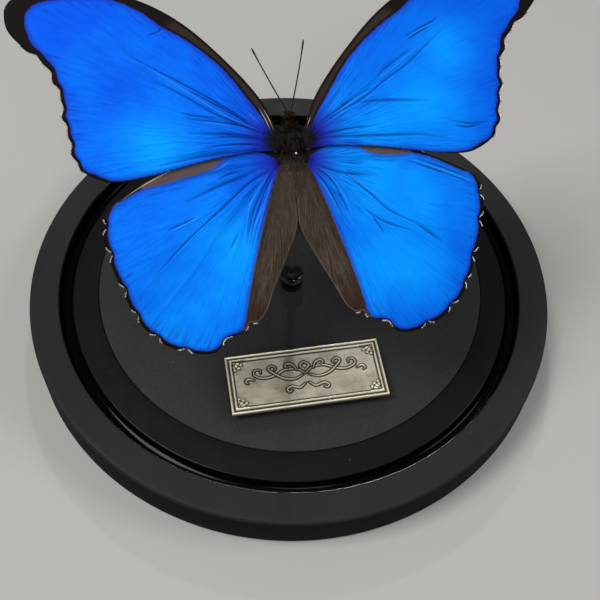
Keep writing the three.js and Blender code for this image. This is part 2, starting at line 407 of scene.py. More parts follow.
def distance_to(points, path):
    """For each point, the distance to a path, and how far along the path it is, from 0 to 1."""
    best = np.full(len(points), 1e9)
    share = np.zeros(len(points))
    for i, (a, b) in enumerate(zip(path, path[1:])):
        edge = b - a
        t = np.clip(((points - a) @ edge) / max(edge @ edge, 1e-12), 0, 1)
        gap = np.linalg.norm(points - a - t[:, None] * edge, axis=1)
        nearer = gap < best
        best = np.where(nearer, gap, best)
        share = np.where(nearer, (i + t) / (len(path) - 1), share)
    return best, share


def smooth_step(value, low, high):
    t = np.clip((value - low) / (high - low), 0, 1)
    return t * t * (3 - 2 * t)


def plate_relief(xy):
    """Height of the plate's face below its outer bar, its dark patina and its rubbed shine, by point."""
    half = np.array(plate_size[:2]) / 2
    inset = np.min(half - np.abs(xy), axis=1)
    groove_end = outer_bar + groove_width
    bar_end = groove_end + inner_bar
    soft = 0.12
    height = -0.14 * (1 - smooth_step(inset, 0, 0.16))
    height -= field_drop * smooth_step(inset, outer_bar - soft, outer_bar)
    bar = smooth_step(inset, groove_end - soft, groove_end) - smooth_step(inset, bar_end, bar_end + soft)
    height += (field_drop - 0.08) * bar
    patina = np.exp(-(((inset - outer_bar - groove_width / 2) / 0.34) ** 4))
    patina = np.maximum(patina, np.exp(-(((inset - bar_end - 0.28) / 0.26) ** 4)))
    corner = half - bar_end - 0.1 - np.abs(xy)
    reach = np.hypot(corner[:, 0], corner[:, 1])
    turn = np.arctan2(corner[:, 1], corner[:, 0])
    inside = (corner[:, 0] > -0.2) & (corner[:, 1] > -0.2)
    petal = np.abs(np.cos(turn * 7))
    edge = shell_reach * (0.78 + 0.22 * petal)
    rib = 0.10 + 0.2 * petal
    shell = rib * (1 - smooth_step(reach, edge - 0.22, edge)) * inside
    eye = 0.26 * np.sqrt(np.clip(1 - (reach / 0.75) ** 2, 0, 1)) * inside
    ring = np.exp(-(((np.abs(reach - 1.75) - 0.6) / 0.16) ** 2)) * inside * (reach < edge)
    height += np.maximum(shell, eye) - 0.1 * ring
    patina = np.maximum(patina, inside * np.exp(-(((reach - edge) / 0.24) ** 2)))
    patina = np.maximum(patina, inside * (reach < edge) * (0.9 * (1 - petal) + 0.8 * ring))
    mirrored = np.column_stack([np.abs(xy[:, 0]), xy[:, 1]])
    stroke_height = np.zeros(len(xy))
    stroke_dark = np.zeros(len(xy))
    for stroke in scroll_strokes:
        gap, share = distance_to(mirrored, spline(stroke, 0.3))
        swell = scroll_half_width * (0.5 + 0.5 * np.sin(math.pi * np.clip(share, 0, 1)) ** 0.7)
        dome = np.sqrt(np.clip(1 - (gap / swell) ** 2, 0, 1))
        stroke_height = np.maximum(stroke_height, 0.28 * dome)
        dark = np.exp(-(((gap - swell - 0.14) / 0.26) ** 4))
        stroke_dark = np.maximum(stroke_dark * (gap > swell), dark)
    height += stroke_height - 0.05 * stroke_dark
    rubbed = np.maximum(smooth_step(height, -0.3, -0.12), smooth_step(stroke_height, 0.08, 0.2))
    return height, np.maximum(patina, stroke_dark), rubbed


def kept(tree, name):
    """What write_attribute keeps under that name."""
    return add_node(tree, "ShaderNodeAttribute", attribute_name=name).outputs["Fac"]


def plate_finish():
    material, tree, shader = start_finish("aged_brass", specular_ior_level=0.5)
    where = object_place(tree)
    patina = kept(tree, "patina")
    rubbed = kept(tree, "rubbed")
    cloud = grain(tree, where, 190.0, 5.0, 0.65)
    brushed = grain(tree, where, 420.0, 3.0, 0.6, (0.12, 1.6, 1.0))
    warm = mix_colour(tree, rise(tree, cloud, 0.3, 0.7), (0.34, 0.31, 0.22, 1), (0.56, 0.53, 0.42, 1))
    warm = mix_colour(tree, rise(tree, brushed, 0.4, 0.7, 0.0, 0.35), warm, (0.66, 0.62, 0.5, 1))
    warm = mix_colour(tree, times(tree, rubbed, 0.8), warm, (0.84, 0.79, 0.58, 1))
    spots = rise(tree, grain(tree, where, 800.0, 4.0, 0.7), 0.58, 0.75)
    worn = calc(tree, "MAXIMUM", patina, times(tree, spots, 0.5))
    feed(shader, base_color=mix_colour(tree, worn, warm, (0.012, 0.01, 0.007, 1)),
         metallic=rise(tree, worn, 0.2, 1.0, 0.52, 0.3),
         roughness=rise(tree, plus(tree, worn, cloud), 0.4, 1.4, 0.36, 0.62))
    relief = set_relief(tree, shader, brushed, 0.00003, 0.35)
    set_relief(tree, shader, cloud, 0.00005, 0.3, relief)
    return material


def field_plate():
    """A closed slab whose top is a fine grid lifted to the relief, with straight sides."""
    width, depth, thickness = plate_size
    columns = round(width / plate_pitch) + 1
    rows = round(depth / plate_pitch) + 1
    xs = np.linspace(-width / 2, width / 2, columns)
    ys = np.linspace(-depth / 2, depth / 2, rows)
    xy = np.array([(x, y) for y in ys for x in xs])
    height, patina, rubbed = plate_relief(xy)
    top = np.column_stack([xy, thickness + height])
    number = np.arange(rows * columns).reshape(rows, columns)
    quads = np.stack([number[:-1, :-1], number[:-1, 1:], number[1:, 1:], number[1:, :-1]], axis=-1)
    faces = [tuple(q) for q in quads.reshape(-1, 4)]
    rim = [*number[0, :], *number[1:, -1], *number[-1, -2::-1], *number[-2:0:-1, 0]]
    below = np.array([(top[i][0], top[i][1], 0) for i in rim])
    first = len(top)
    count = len(rim)
    for i in range(count):
        j = (i + 1) % count
        faces.append((rim[j], rim[i], first + i, first + j))
    faces.append(tuple(range(first + count - 1, first - 1, -1)))
    side_wear = np.full(count, 0.5)
    shape = np.vstack([top, below]), faces
    return shape, np.append(patina, side_wear), np.append(rubbed, side_wear)


def write_attribute(mesh, name, values):
    """Keeps one number a point on a mesh, for its material or its hairs to read."""
    attribute = mesh.attributes.new(name, "FLOAT", "POINT")
    attribute.data.foreach_set("value", np.asarray(values, np.float32))


plate_shape, plate_patina, plate_rubbed = field_plate()
plate_place_top = plate_place @ Matrix.Translation((0, 0, pad_size[2]))
brass_plate = place_piece("brass_plate", plate_shape, plate_finish(), "plaque",
                          plate_place_top)
write_attribute(brass_plate.data, "patina", plate_patina)
write_attribute(brass_plate.data, "rubbed", plate_rubbed)


# ---------------------------------------------------------------------------------------------
# Collar: a short turned cylinder of clear acrylic with a rounded top. It is glued to the disc and
# drilled at a lean for the rod.
# ---------------------------------------------------------------------------------------------
collar_foot = Vector((0, -2.2, base_height))
collar_radius = 3.3
collar_height = 5.8
collar_edge = 0.15
collar_round = 1.0
rod_radius = 1.15
bore_gap = 0.3
bore_floor = 1.05
rod_seat = 1.2
rod_foot = collar_foot + Vector((0, 0, rod_seat))

body_tilt = Matrix.Rotation(math.radians(40.9), 4, "X")
body_roll = Matrix.Rotation(math.radians(1), 4, "Y")
body_place = Matrix.Translation((-2.4, -8.6, 75.5)) @ body_tilt @ body_roll
rod_head = body_place @ Vector((0, 0, -3.7))
rod_lean = (rod_head - rod_foot).normalized()


def clear_finish():
    material, tree, shader = start_finish("clear_acrylic", transmission_weight=1.0, ior=1.49,
                                          specular_ior_level=1.0, base_color=(0.965, 0.98, 0.98, 1))
    smear = grain(tree, object_place(tree), 900.0, 4.0)
    feed(shader, roughness=rise(tree, smear, 0.35, 0.75, 0.015, 0.1))
    set_relief(tree, shader, smear, 0.00012, 0.5)
    return material


acrylic = clear_finish()


def collar_mesh(sides):
    """The outside is upright, and the rings of the bore step sideways along the rod's lean."""
    turn = np.linspace(0, 2 * math.pi, sides, endpoint=False)
    bore_radius = rod_radius + bore_gap
    top = collar_height
    outside = [(collar_radius - collar_edge, 0), (collar_radius, collar_edge), (collar_radius, top / 2)]
    outside += arc_points((collar_radius - collar_round, top - collar_round), collar_round, 0, 90, 12)
    bore = [(bore_radius + collar_edge, top), (bore_radius, top - collar_edge), (bore_radius, top / 2)]
    bore += [(bore_radius, bore_floor), (0, bore_floor)]
    points, rings = [(0, 0, 0)], [[0]]
    for radius, height in outside + bore:
        in_bore = (radius, height) in bore
        shift = (height - rod_seat) * rod_lean / rod_lean.z if in_bore else Vector()
        first = len(points)
        if radius == 0:
            points.append((shift.x, shift.y, height))
            rings.append([first])
            continue
        points += [(radius * math.cos(a) + shift.x, radius * math.sin(a) + shift.y, height)
                   for a in turn]
        rings.append(list(range(first, first + sides)))
    return points, ring_faces(rings)


place_piece("clear_collar", collar_mesh(72), acrylic, "post_collar",
            Matrix.Translation(collar_foot))


# ---------------------------------------------------------------------------------------------
# Rod: clear acrylic, drawn straight, thin and polished. Its foot is glued in the collar and its head
# under the thorax.
# ---------------------------------------------------------------------------------------------
def sweep_mesh(path, radii, sides):
    """A round bar along a path, with a radius at each of its points and closed round ends."""
    path = np.asarray(path, float)
    aim = np.gradient(path, axis=0)
    aim /= np.linalg.norm(aim, axis=1)[:, None]
    across = np.cross(aim[0], (0.3, 0.2, 0.9) if abs(aim[0][2]) < 0.9 else (1, 0, 0))
    points, rings = [tuple(path[0] - aim[0] * radii[0] * 0.4)], [[0]]
    for centre, ahead, radius in zip(path, aim, radii):
        across = across - ahead * (across @ ahead)
        across /= np.linalg.norm(across)
        up = np.cross(ahead, across)
        first = len(points)
        for a in np.linspace(0, 2 * math.pi, sides, endpoint=False):
            points.append(tuple(centre + radius * (math.cos(a) * across + math.sin(a) * up)))
        rings.append(list(range(first, first + sides)))
    points.append(tuple(path[-1] + aim[-1] * radii[-1] * 0.4))
    rings.append([len(points) - 1])
    return points, ring_faces(rings)


rod_line = [rod_foot.lerp(rod_head, share) for share in np.linspace(0, 1, 30)]
rod_shape = sweep_mesh(rod_line, [rod_radius] * len(rod_line), 40)
place_piece("clear_rod", rod_shape, acrylic, "post_rod")


# ---------------------------------------------------------------------------------------------
# Thorax: the butterfly's chest, dark and thick with hair that is combed back, broad at the level
# where the wings leave it. The post is glued under it and the setting pin goes down through it.
# ---------------------------------------------------------------------------------------------
thorax_size = (2.5, 5.0, 3.1)
thorax_centre = (0, 1.4, -0.9)
flank_swell = 0.75
hair_width = 0.045


def ball_mesh(sizes, centre, columns, rows):
    profile = arc_points((0, 0), 1, -90, 90, rows)
    profile[0] = (0, -1)
    profile[-1] = (0, 1)
    points, faces = turned_mesh(profile, columns)
    return np.asarray(points) * sizes + centre, faces


def skin_finish(name, low, high, scale, rough=0.7, level=0.35):
    """Dull horny skin in two mottled tones."""
    material, tree, shader = start_finish(name, specular_ior_level=level)
    where = object_place(tree)
    cloud = grain(tree, where, scale, 4.0)
    feed(shader, base_color=mix_colour(tree, cloud, low, high),
         roughness=rise(tree, cloud, 0.3, 0.7, rough - 0.1, rough + 0.1))
    set_relief(tree, shader, grain(tree, where, scale * 5, 3.0), 0.00006, 0.6)
    return material


def hair_finish(name, dark, light, pale_share=0.5):
    """Hair of two tones: each hair has its own, and about pale_share of them lean to the light one."""
    material, tree, shader = start_finish(name, specular_ior_level=0.1, roughness=0.6)
    cloud = grain(tree, object_place(tree), 600.0)
    tone = plus(tree, kept(tree, "tone"), rise(tree, cloud, 0.3, 0.7, -0.12, 0.12))
    pale = rise(tree, tone, 0.95 - pale_share, 1.05 - 0.25 * pale_share)
    feed(shader, base_color=mix_colour(tree, pale, dark, light))
    return material


def start_tree(name, **inputs):
    """A new tree with named inputs, each of the kind given, and what a modifier calls each of them."""
    tree = bpy.data.node_groups.new(name, "GeometryNodeTree")
    sockets = {}
    for key, kind in {"Geometry": "Geometry", **inputs, "Seed": "Int", "Finish": "Material"}.items():
        socket = tree.interface.new_socket(name=key, in_out="INPUT", socket_type="NodeSocket" + kind)
        sockets[key] = socket.identifier
    tree.interface.new_socket(name="Geometry", in_out="OUTPUT", socket_type="NodeSocketGeometry")
    return tree, sockets, tree.nodes.new("NodeGroupInput").outputs


def named_attribute(tree, name, kind):
    return add_node(tree, "GeometryNodeInputNamedAttribute", {"Name": name}, data_type=kind).outputs[0]


def build_coat_tree():
    """Hairs grown from a surface: bent tapered spikes, leaned from its normal towards a comb."""
    tree, sockets, given = start_tree("hair_coat", Density="Float", Length="Float", Width="Float",
                                      Lay="Float", Spread="Float", Comb="Vector")
    density = times(tree, given["Density"], named_attribute(tree, "coat", "FLOAT"))
    scatter = add_node(tree, "GeometryNodeDistributePointsOnFaces",
                       {"Mesh": given["Geometry"], "Density": density, "Seed": given["Seed"]})
    spike = bent_spike(tree, 2, 0.3)
    jitter = random_vector(tree, given["Seed"])
    stand = calc(tree, "SUBTRACT", 1.0, given["Lay"])
    aim = vector_calc(tree, "SCALE", scatter.outputs["Normal"], stand)
    aim = vector_calc(tree, "ADD", aim, vector_calc(tree, "SCALE", given["Comb"], given["Lay"]))
    aim = vector_calc(tree, "ADD", aim, vector_calc(tree, "SCALE", jitter, given["Spread"]))
    hairs = instance_spikes(tree, scatter.outputs["Points"], spike, aim, given)
    finish_tree(tree, hairs, given["Finish"])
    return tree, sockets


def random_vector(tree, seed):
    inputs = {0: (-1, -1, -1), 1: (1, 1, 1), "Seed": seed}
    return add_node(tree, "FunctionNodeRandomValue", inputs, data_type="FLOAT_VECTOR").outputs[0]


def bent_spike(tree, segments, bend):
    """One hair of unit length and width, three-sided, tapered to a point and bent to one side."""
    sizes = {"Vertices": 3, "Side Segments": segments, "Radius Top": 0.0, "Radius Bottom": 0.5,
             "Depth": 1.0}
    cone = add_node(tree, "GeometryNodeMeshCone", sizes, fill_type="TRIANGLE_FAN").outputs["Mesh"]
    place = tree.nodes.new("GeometryNodeInputPosition").outputs[0]
    up = add_node(tree, "ShaderNodeSeparateXYZ", {0: place}).outputs[2]
    side = times(tree, times(tree, up, up), bend)
    offset = add_node(tree, "ShaderNodeCombineXYZ", {0: times(tree, side, 4.0)}).outputs[0]
    return add_node(tree, "GeometryNodeSetPosition", {"Geometry": cone, "Offset": offset}).outputs[0]


def random_number(tree, seed, least=0.0):
    inputs = {2: least, 3: 1.0, "Seed": seed}
    return add_node(tree, "FunctionNodeRandomValue", inputs, data_type="FLOAT").outputs[1]


def instance_spikes(tree, points, spike, aim, given):
    """A spike at each point, leaned to its aim, with a length and a tone of its own."""
    length = times(tree, given["Length"], random_number(tree, given["Seed"], 0.45))
    inputs = {0: given["Width"], 1: given["Width"], 2: length}
    size = add_node(tree, "ShaderNodeCombineXYZ", inputs).outputs[0]
    turn = add_node(tree, "FunctionNodeAlignRotationToVector", {"Vector": aim}, axis="Z").outputs[0]
    inputs = {"Points": points, "Instance": spike, "Rotation": turn, "Scale": size}
    hairs = add_node(tree, "GeometryNodeInstanceOnPoints", inputs).outputs[0]
    tone = random_number(tree, plus(tree, given["Seed"], 50.0))
    inputs = {"Geometry": hairs, "Name": "tone", "Value": tone}
    return add_node(tree, "GeometryNodeStoreNamedAttribute", inputs, data_type="FLOAT",
                    domain="INSTANCE").outputs[0]


def finish_tree(tree, geometry, material):
    real = add_node(tree, "GeometryNodeRealizeInstances", {0: geometry}).outputs[0]
    done = add_node(tree, "GeometryNodeSetMaterial", {"Geometry": real, "Material": material}).outputs[0]
    add_node(tree, "NodeGroupOutput", {0: done})


def run_tree(name, mesh, tree, sockets, values, material):
    """Runs a tree on a mesh and keeps what it makes as a plain mesh piece of its own."""
    carrier = add_object(name + "_carrier", mesh)
    modifier = carrier.modifiers.new("grow", "NODES")
    modifier.node_group = tree
    for key, value in values.items():
        modifier[sockets[key]] = value
    modifier[sockets["Finish"]] = material
    bpy.context.view_layer.update()
    grown = bpy.data.meshes.new_from_object(carrier.evaluated_get(bpy.context.evaluated_depsgraph_get()))
    bpy.data.objects.remove(carrier)
    grown.name = name
    if not grown.materials:
        grown.materials.append(material)
    return add_object(name, grown)


coat_tree, coat_sockets = build_coat_tree()


def grow_hair(piece, name, material, hairs, length, comb, lay, seed, spread=0.28, width=hair_width,
              coat=None):
    """Covers a piece with about that many hairs, combed in the butterfly's own directions."""
    surface = piece.data.copy()
    weights = np.ones(len(surface.vertices)) if coat is None else coat
    write_attribute(surface, "coat", weights)
    area = 0.0
    for face in surface.polygons:
        area += face.area * float(np.mean([weights[i] for i in face.vertices]))
    direction = (body_place.to_3x3() @ Vector(comb)).normalized()
    values = {"Density": hairs / area, "Length": length * MM, "Width": width * MM, "Lay": lay,
              "Spread": spread, "Comb": direction, "Seed": seed}
    return hang_piece(run_tree(name, surface, coat_tree, coat_sockets, values, material))


chest_skin = skin_finish("chest_skin", (0.003, 0.0022, 0.002, 1), (0.011, 0.008, 0.006, 1), 700.0,
                         level=0.12)
chest_hair = hair_finish("chest_hair", (0.002, 0.0015, 0.0013, 1), (0.13, 0.096, 0.062, 1), 0.11)
thorax_shape = ball_mesh(thorax_size, thorax_centre, 64, 40)
thorax_points = thorax_shape[0]
off_wings = ((thorax_points[:, 2] - 0.1) / 0.9) ** 2 + ((thorax_points[:, 1] - 0.6) / 3.4) ** 2
thorax_points[:, 0] += flank_swell * np.exp(-off_wings) * np.sign(thorax_points[:, 0])
thorax_piece = place_piece("thorax_skin", thorax_shape, chest_skin, "thorax", body_place)
dark_back = (thorax_points[:, 1] > -1.2).astype(float)
grow_hair(thorax_piece, "thorax_hair", chest_hair, 4200, 2.7, comb=(0, -1, 0.1), lay=0.88, spread=0.1,
          width=0.065, seed=3, coat=dark_back)
shoulder_coat = (thorax_points[:, 1] > 3.8) * (thorax_points[:, 2] > -1.5).astype(float)
grow_hair(thorax_piece, "shoulder_hair", chest_hair, 1300, 1.9, comb=(0, 1, 0.1), lay=0.55, spread=0.15,
          seed=4, coat=shoulder_coat)


# ---------------------------------------------------------------------------------------------
# Setting pin: a bright steel pin, pushed down through the chest when the wings were set, and cut off
# just above the hair.
# ---------------------------------------------------------------------------------------------
pin_place = (0.5, -0.8)
pin_radius = 0.35
pin_top = thorax_centre[2] + thorax_size[2] + 0.5
pin_end = thorax_centre[2] - thorax_size[2] + 0.4


def steel_finish():
    material, tree, shader = start_finish("pin_steel", metallic=1.0)
    drawn = grain(tree, object_place(tree), 2200.0, 2.0)
    feed(shader, base_color=mix_colour(tree, drawn, (0.42, 0.42, 0.43, 1), (0.74, 0.74, 0.75, 1)),
         roughness=rise(tree, drawn, 0.3, 0.7, 0.16, 0.34))
    return material


pin_line = [(*pin_place, pin_end + (pin_top - pin_end) * share) for share in np.linspace(0, 1, 12)]
pin_shape = sweep_mesh(pin_line, [pin_radius] * 11 + [pin_radius * 0.8], 24)
place_piece("setting_pin", pin_shape, steel_finish(), "pin", body_place)


# ---------------------------------------------------------------------------------------------
# Head: a small capsule of dark horn under short hair, sunk close to the chest. A large dark eye
# stands out on each side.
# ---------------------------------------------------------------------------------------------
head_centre = Vector((0, 8, -0.7))
head_radius = 1.3
eye_radius = 0.78
eye_offset = Vector((1.08, 0.3, -0.1))

head_shape = ball_mesh((head_radius,) * 3, head_centre, 48, 32)
head_piece = place_piece("head_skin", head_shape, chest_skin, "head", body_place)
head_coat = (np.abs(head_shape[0][:, 0]) < 0.8).astype(float)
grow_hair(head_piece, "head_hair", chest_hair, 2600, 0.5, comb=(0, -0.9, 0.4), lay=0.6, spread=0.25,
          seed=5, coat=head_coat)


def eye_finish():
    """Compound eye: a dark brown dome of tiny six-sided lenses under a soft gloss."""
    material, tree, shader = start_finish("eye_horn", roughness=0.38, coat_weight=0.06, coat_roughness=0.12,
                                          specular_ior_level=0.15)
    where = object_place(tree)
    lens = cell_gaps(tree, where, 11000.0)
    cloud = grain(tree, where, 900.0)
    tone = mix_colour(tree, cloud, (0.004, 0.003, 0.0025, 1), (0.014, 0.009, 0.006, 1))
    tone = mix_colour(tree, rise(tree, lens, 0.3, 0.6, 0.0, 0.6), tone, (0.002, 0.0015, 0.001, 1))
    feed(shader, base_color=tone)
    set_relief(tree, shader, lens, 0.00002, 0.5)
    return material


eye_horn = eye_finish()
sides = (("left", -1), ("right", 1))
for word, side in sides:
    eye_centre = head_centre + Vector((side * eye_offset.x, eye_offset.y, eye_offset.z))
    eye_shape = ball_mesh((eye_radius,) * 3, eye_centre, 40, 28)
    place_piece(f"compound_eye_{word}", eye_shape, eye_horn, f"eye_{word}", body_place)


# ---------------------------------------------------------------------------------------------
# Mouth parts: two hairy palps that hang under the head, and between them the tongue, a thin tube of
# dark horn that dried coiled flat.
# ---------------------------------------------------------------------------------------------
horn = skin_finish("dark_horn", (0.002, 0.0016, 0.0013, 1), (0.009, 0.006, 0.0045, 1), 1600.0, 0.5, 0.2)
palp_share = np.linspace(0, 1, 12)
palp_thickness = ([0, 0.5, 1], [0.3, 0.36, 0.1])

for word, side in sides:
    palp_from = np.array([side * 0.7, head_centre.y + 0.65, head_centre.z - 1.05])
    palp_line = palp_from + np.outer(palp_share, (side * 0.05, 0.7, -1.6))
    palp_shape = sweep_mesh(palp_line, np.interp(palp_share, *palp_thickness), 18)
    palp_piece = place_piece(f"palp_skin_{word}", palp_shape, chest_skin, f"palp_{word}",
                             body_place)
    grow_hair(palp_piece, f"palp_hair_{word}", chest_hair, 420, 0.3, comb=(0, 0.4, -1), lay=0.7,
              seed=7 + side, width=0.03)

tongue_turns = 2.25
tongue_centre = (8.9, -3.6)
tongue_share = np.linspace(0, 1, 90)
tongue_angle = tongue_share * tongue_turns * 2 * math.pi
tongue_radius = 0.3 + 0.8 * tongue_share
tongue_line = np.column_stack([
    np.zeros(90),
    tongue_centre[0] + tongue_radius * np.cos(tongue_angle),
    tongue_centre[1] + tongue_radius * np.sin(tongue_angle),
])
tongue_root = [(0, 8.65, -2.45), (0, 8.4, -2.3), (0, 8.2, -2.05), (0, 8.1, -1.7)]
tongue_line = np.vstack([tongue_line, tongue_root])
tongue_rings = 0.14 + 0.014 * np.cos(np.arange(len(tongue_line)) * math.pi)
tongue_shape = sweep_mesh(tongue_line, tongue_rings, 14)
place_piece("coiled_tongue", tongue_shape, horn, "proboscis", body_place)


# ---------------------------------------------------------------------------------------------
# Antennae: black threads of horn in some forty short joints, a little thicker at the root, with a
# slim club. They stand in the top of the head and dried nearly straight.
# ---------------------------------------------------------------------------------------------
antenna_length = 16.75
antenna_joints = 46
antenna_aims = {"left": (-7.24, 15.0, 1.2), "right": (4.35, 16.15, 1.2)}
antenna_thickness = ([0, 0.05, 0.3, 0.78, 0.86, 0.95, 1], [0.24, 0.2, 0.165, 0.155, 0.19, 0.24, 0.13])

for word, side in sides:
    start = np.array([side * 0.25, head_centre.y + 0.6, head_centre.z + 1.15])
    aim = np.array(antenna_aims[word], float)
    aim *= antenna_length / np.linalg.norm(aim)
    steps = antenna_joints * 4
    share = np.linspace(0, 1, steps + 1)
    bow = 0.28 * np.sin(share * math.pi)
    line = start + share[:, None] * aim + np.outer(bow, (side * 0.6, 0, 0.8))
    joint = 1 - 0.16 * (np.arange(steps + 1) % 4 == 0)
    antenna_shape = sweep_mesh(line, np.interp(share, *antenna_thickness) * joint, 14)
    place_piece(f"feeler_{word}", antenna_shape, horn, f"antenna_{word}", body_place)


# ---------------------------------------------------------------------------------------------
# Abdomen: soft brown skin in seven rings, tapered, which dried with a slight droop behind the chest.
# Its short hair lies back over the rings.
# ---------------------------------------------------------------------------------------------
abdomen_start = np.array([0, -3.95, -1.5])
abdomen_length = 15.2
abdomen_radius = 1.85
abdomen_droop = math.radians(9)
abdomen_rings = 7

abdomen_share = np.linspace(0, 1, 85)
abdomen_aim = np.array([0, -math.cos(abdomen_droop), -math.sin(abdomen_droop)])
abdomen_line = abdomen_start + np.outer(abdomen_share * abdomen_length, abdomen_aim)
abdomen_shares = [0.55, 0.86, 0.98, 1, 0.97, 0.9, 0.8, 0.66, 0.46, 0.16]
abdomen_taper = np.interp(abdomen_share, np.linspace(0, 1, 10), abdomen_shares)
ring_phase = (abdomen_share * abdomen_rings) % 1
abdomen_radii = abdomen_radius * abdomen_taper * (1 - 0.07 * np.exp(-((ring_phase / 0.12) ** 2)))
abdomen_shape = sweep_mesh(abdomen_line, abdomen_radii, 40)
abdomen_skin = skin_finish("abdomen_skin", (0.03, 0.02, 0.014, 1), (0.06, 0.043, 0.031, 1), 500.0)
abdomen_fur = hair_finish("abdomen_fur", (0.034, 0.025, 0.018, 1), (0.145, 0.118, 0.086, 1), 0.55)
abdomen_piece = place_piece("abdomen_body", abdomen_shape, abdomen_skin, "abdomen", body_place)
grow_hair(abdomen_piece, "abdomen_hair", abdomen_fur, 7500, 1.5, comb=(0, -1, 0.02), lay=0.8, spread=0.2,
          seed=11)
brown_back = (thorax_points[:, 1] < -0.2).astype(float)
grow_hair(thorax_piece, "waist_hair", abdomen_fur, 2600, 2.0, comb=(0, -1, 0.02), lay=0.8, spread=0.18,
          seed=12, coat=brown_back)


# ---------------------------------------------------------------------------------------------
# Legs: two pairs of dry black horn with fine spines, thick at the thigh and thin at the foot. They
# grow from the chest and were folded back under it as they dried.
# ---------------------------------------------------------------------------------------------
leg_rows = {"mid": 1.6, "hind": -1.4}
leg_thickness = ([0, 0.3, 0.42, 0.7, 0.75, 1], [0.26, 0.25, 0.17, 0.15, 0.11, 0.08])

for word, side in sides:
    for row, start in leg_rows.items():
        route = [
            (side * 2.1, start, -3.7),
            (side * 3.1, start + 1.6, -5),
            (side * 2.7, start - 1, -6),
            (side * 2.2, start - 4.4, -5.6),
        ]
        line = spline(route, 0.15)
        radii = np.interp(np.linspace(0, 1, len(line)), *leg_thickness)
        leg_piece = place_piece(f"walking_leg_{word}_{row}", sweep_mesh(line, radii, 14), horn,
                                f"leg_{word}_{row}", body_place)
        grow_hair(leg_piece, f"leg_spines_{word}_{row}", horn, 160, 0.32, comb=(0, -1, -0.2), lay=0.5,
                  seed=13 + side, width=0.03)


# ---------------------------------------------------------------------------------------------
# Wings: dry membranes stiffened by veins and covered in scales, metallic blue above and brown with
# eyespots below. Each is glued at its root to the chest, the hindwing a little under the forewing.
# ---------------------------------------------------------------------------------------------
wing_rise = math.radians(1.5)
wing_skin = 0.13
wing_grid = 0.34
line_lanes = (0, 0.18, -0.18, 0.38, -0.38)
notch_width = 1.05
cilia_from = 0.45
cilia_to = 1.9
costa = [(3.2, 4.6), (6.1, 11.6), (12.4, 20), (21.8, 29.5), (31.2, 35.4), (41, 38.2), (51, 38.6)]
tip = [(57.6, 38), (60.2, 36.4), (61, 34), (60.5, 30.7), (57.7, 27.1)]
outer_margin = [(53.6, 23.2), (52.2, 19.4), (50.9, 15.6), (51.1, 11.6), (50.2, 7.2), (50, 3.2),
                (48.4, -0.4)]
hind_margin = [(44.6, -3), (40.4, -3.9), (32.6, -3), (19.3, -0.6), (9.5, 0.35), (3.2, 0.4)]
front_edge = [(3.2, -0.3), (9, 1.3), (18, 1.2), (28.4, -1.9), (36.8, -5.6), (43, -9.4)]
outer_edge = [(45, -14), (44.2, -21.5), (42, -29), (39.2, -36.3), (33.8, -42.2), (27, -45)]
back_edge = [(22.4, -45.2), (19.2, -42.4), (13.4, -40.2), (9.9, -37.6)]
fold_edge = [(7.3, -32.3), (3.7, -25.3), (1.2, -20.1), (0.2, -17), (0.12, -13.5), (0.2, -10.2)]
fold_root = [(0.4, -7), (1.0, -4.2)]

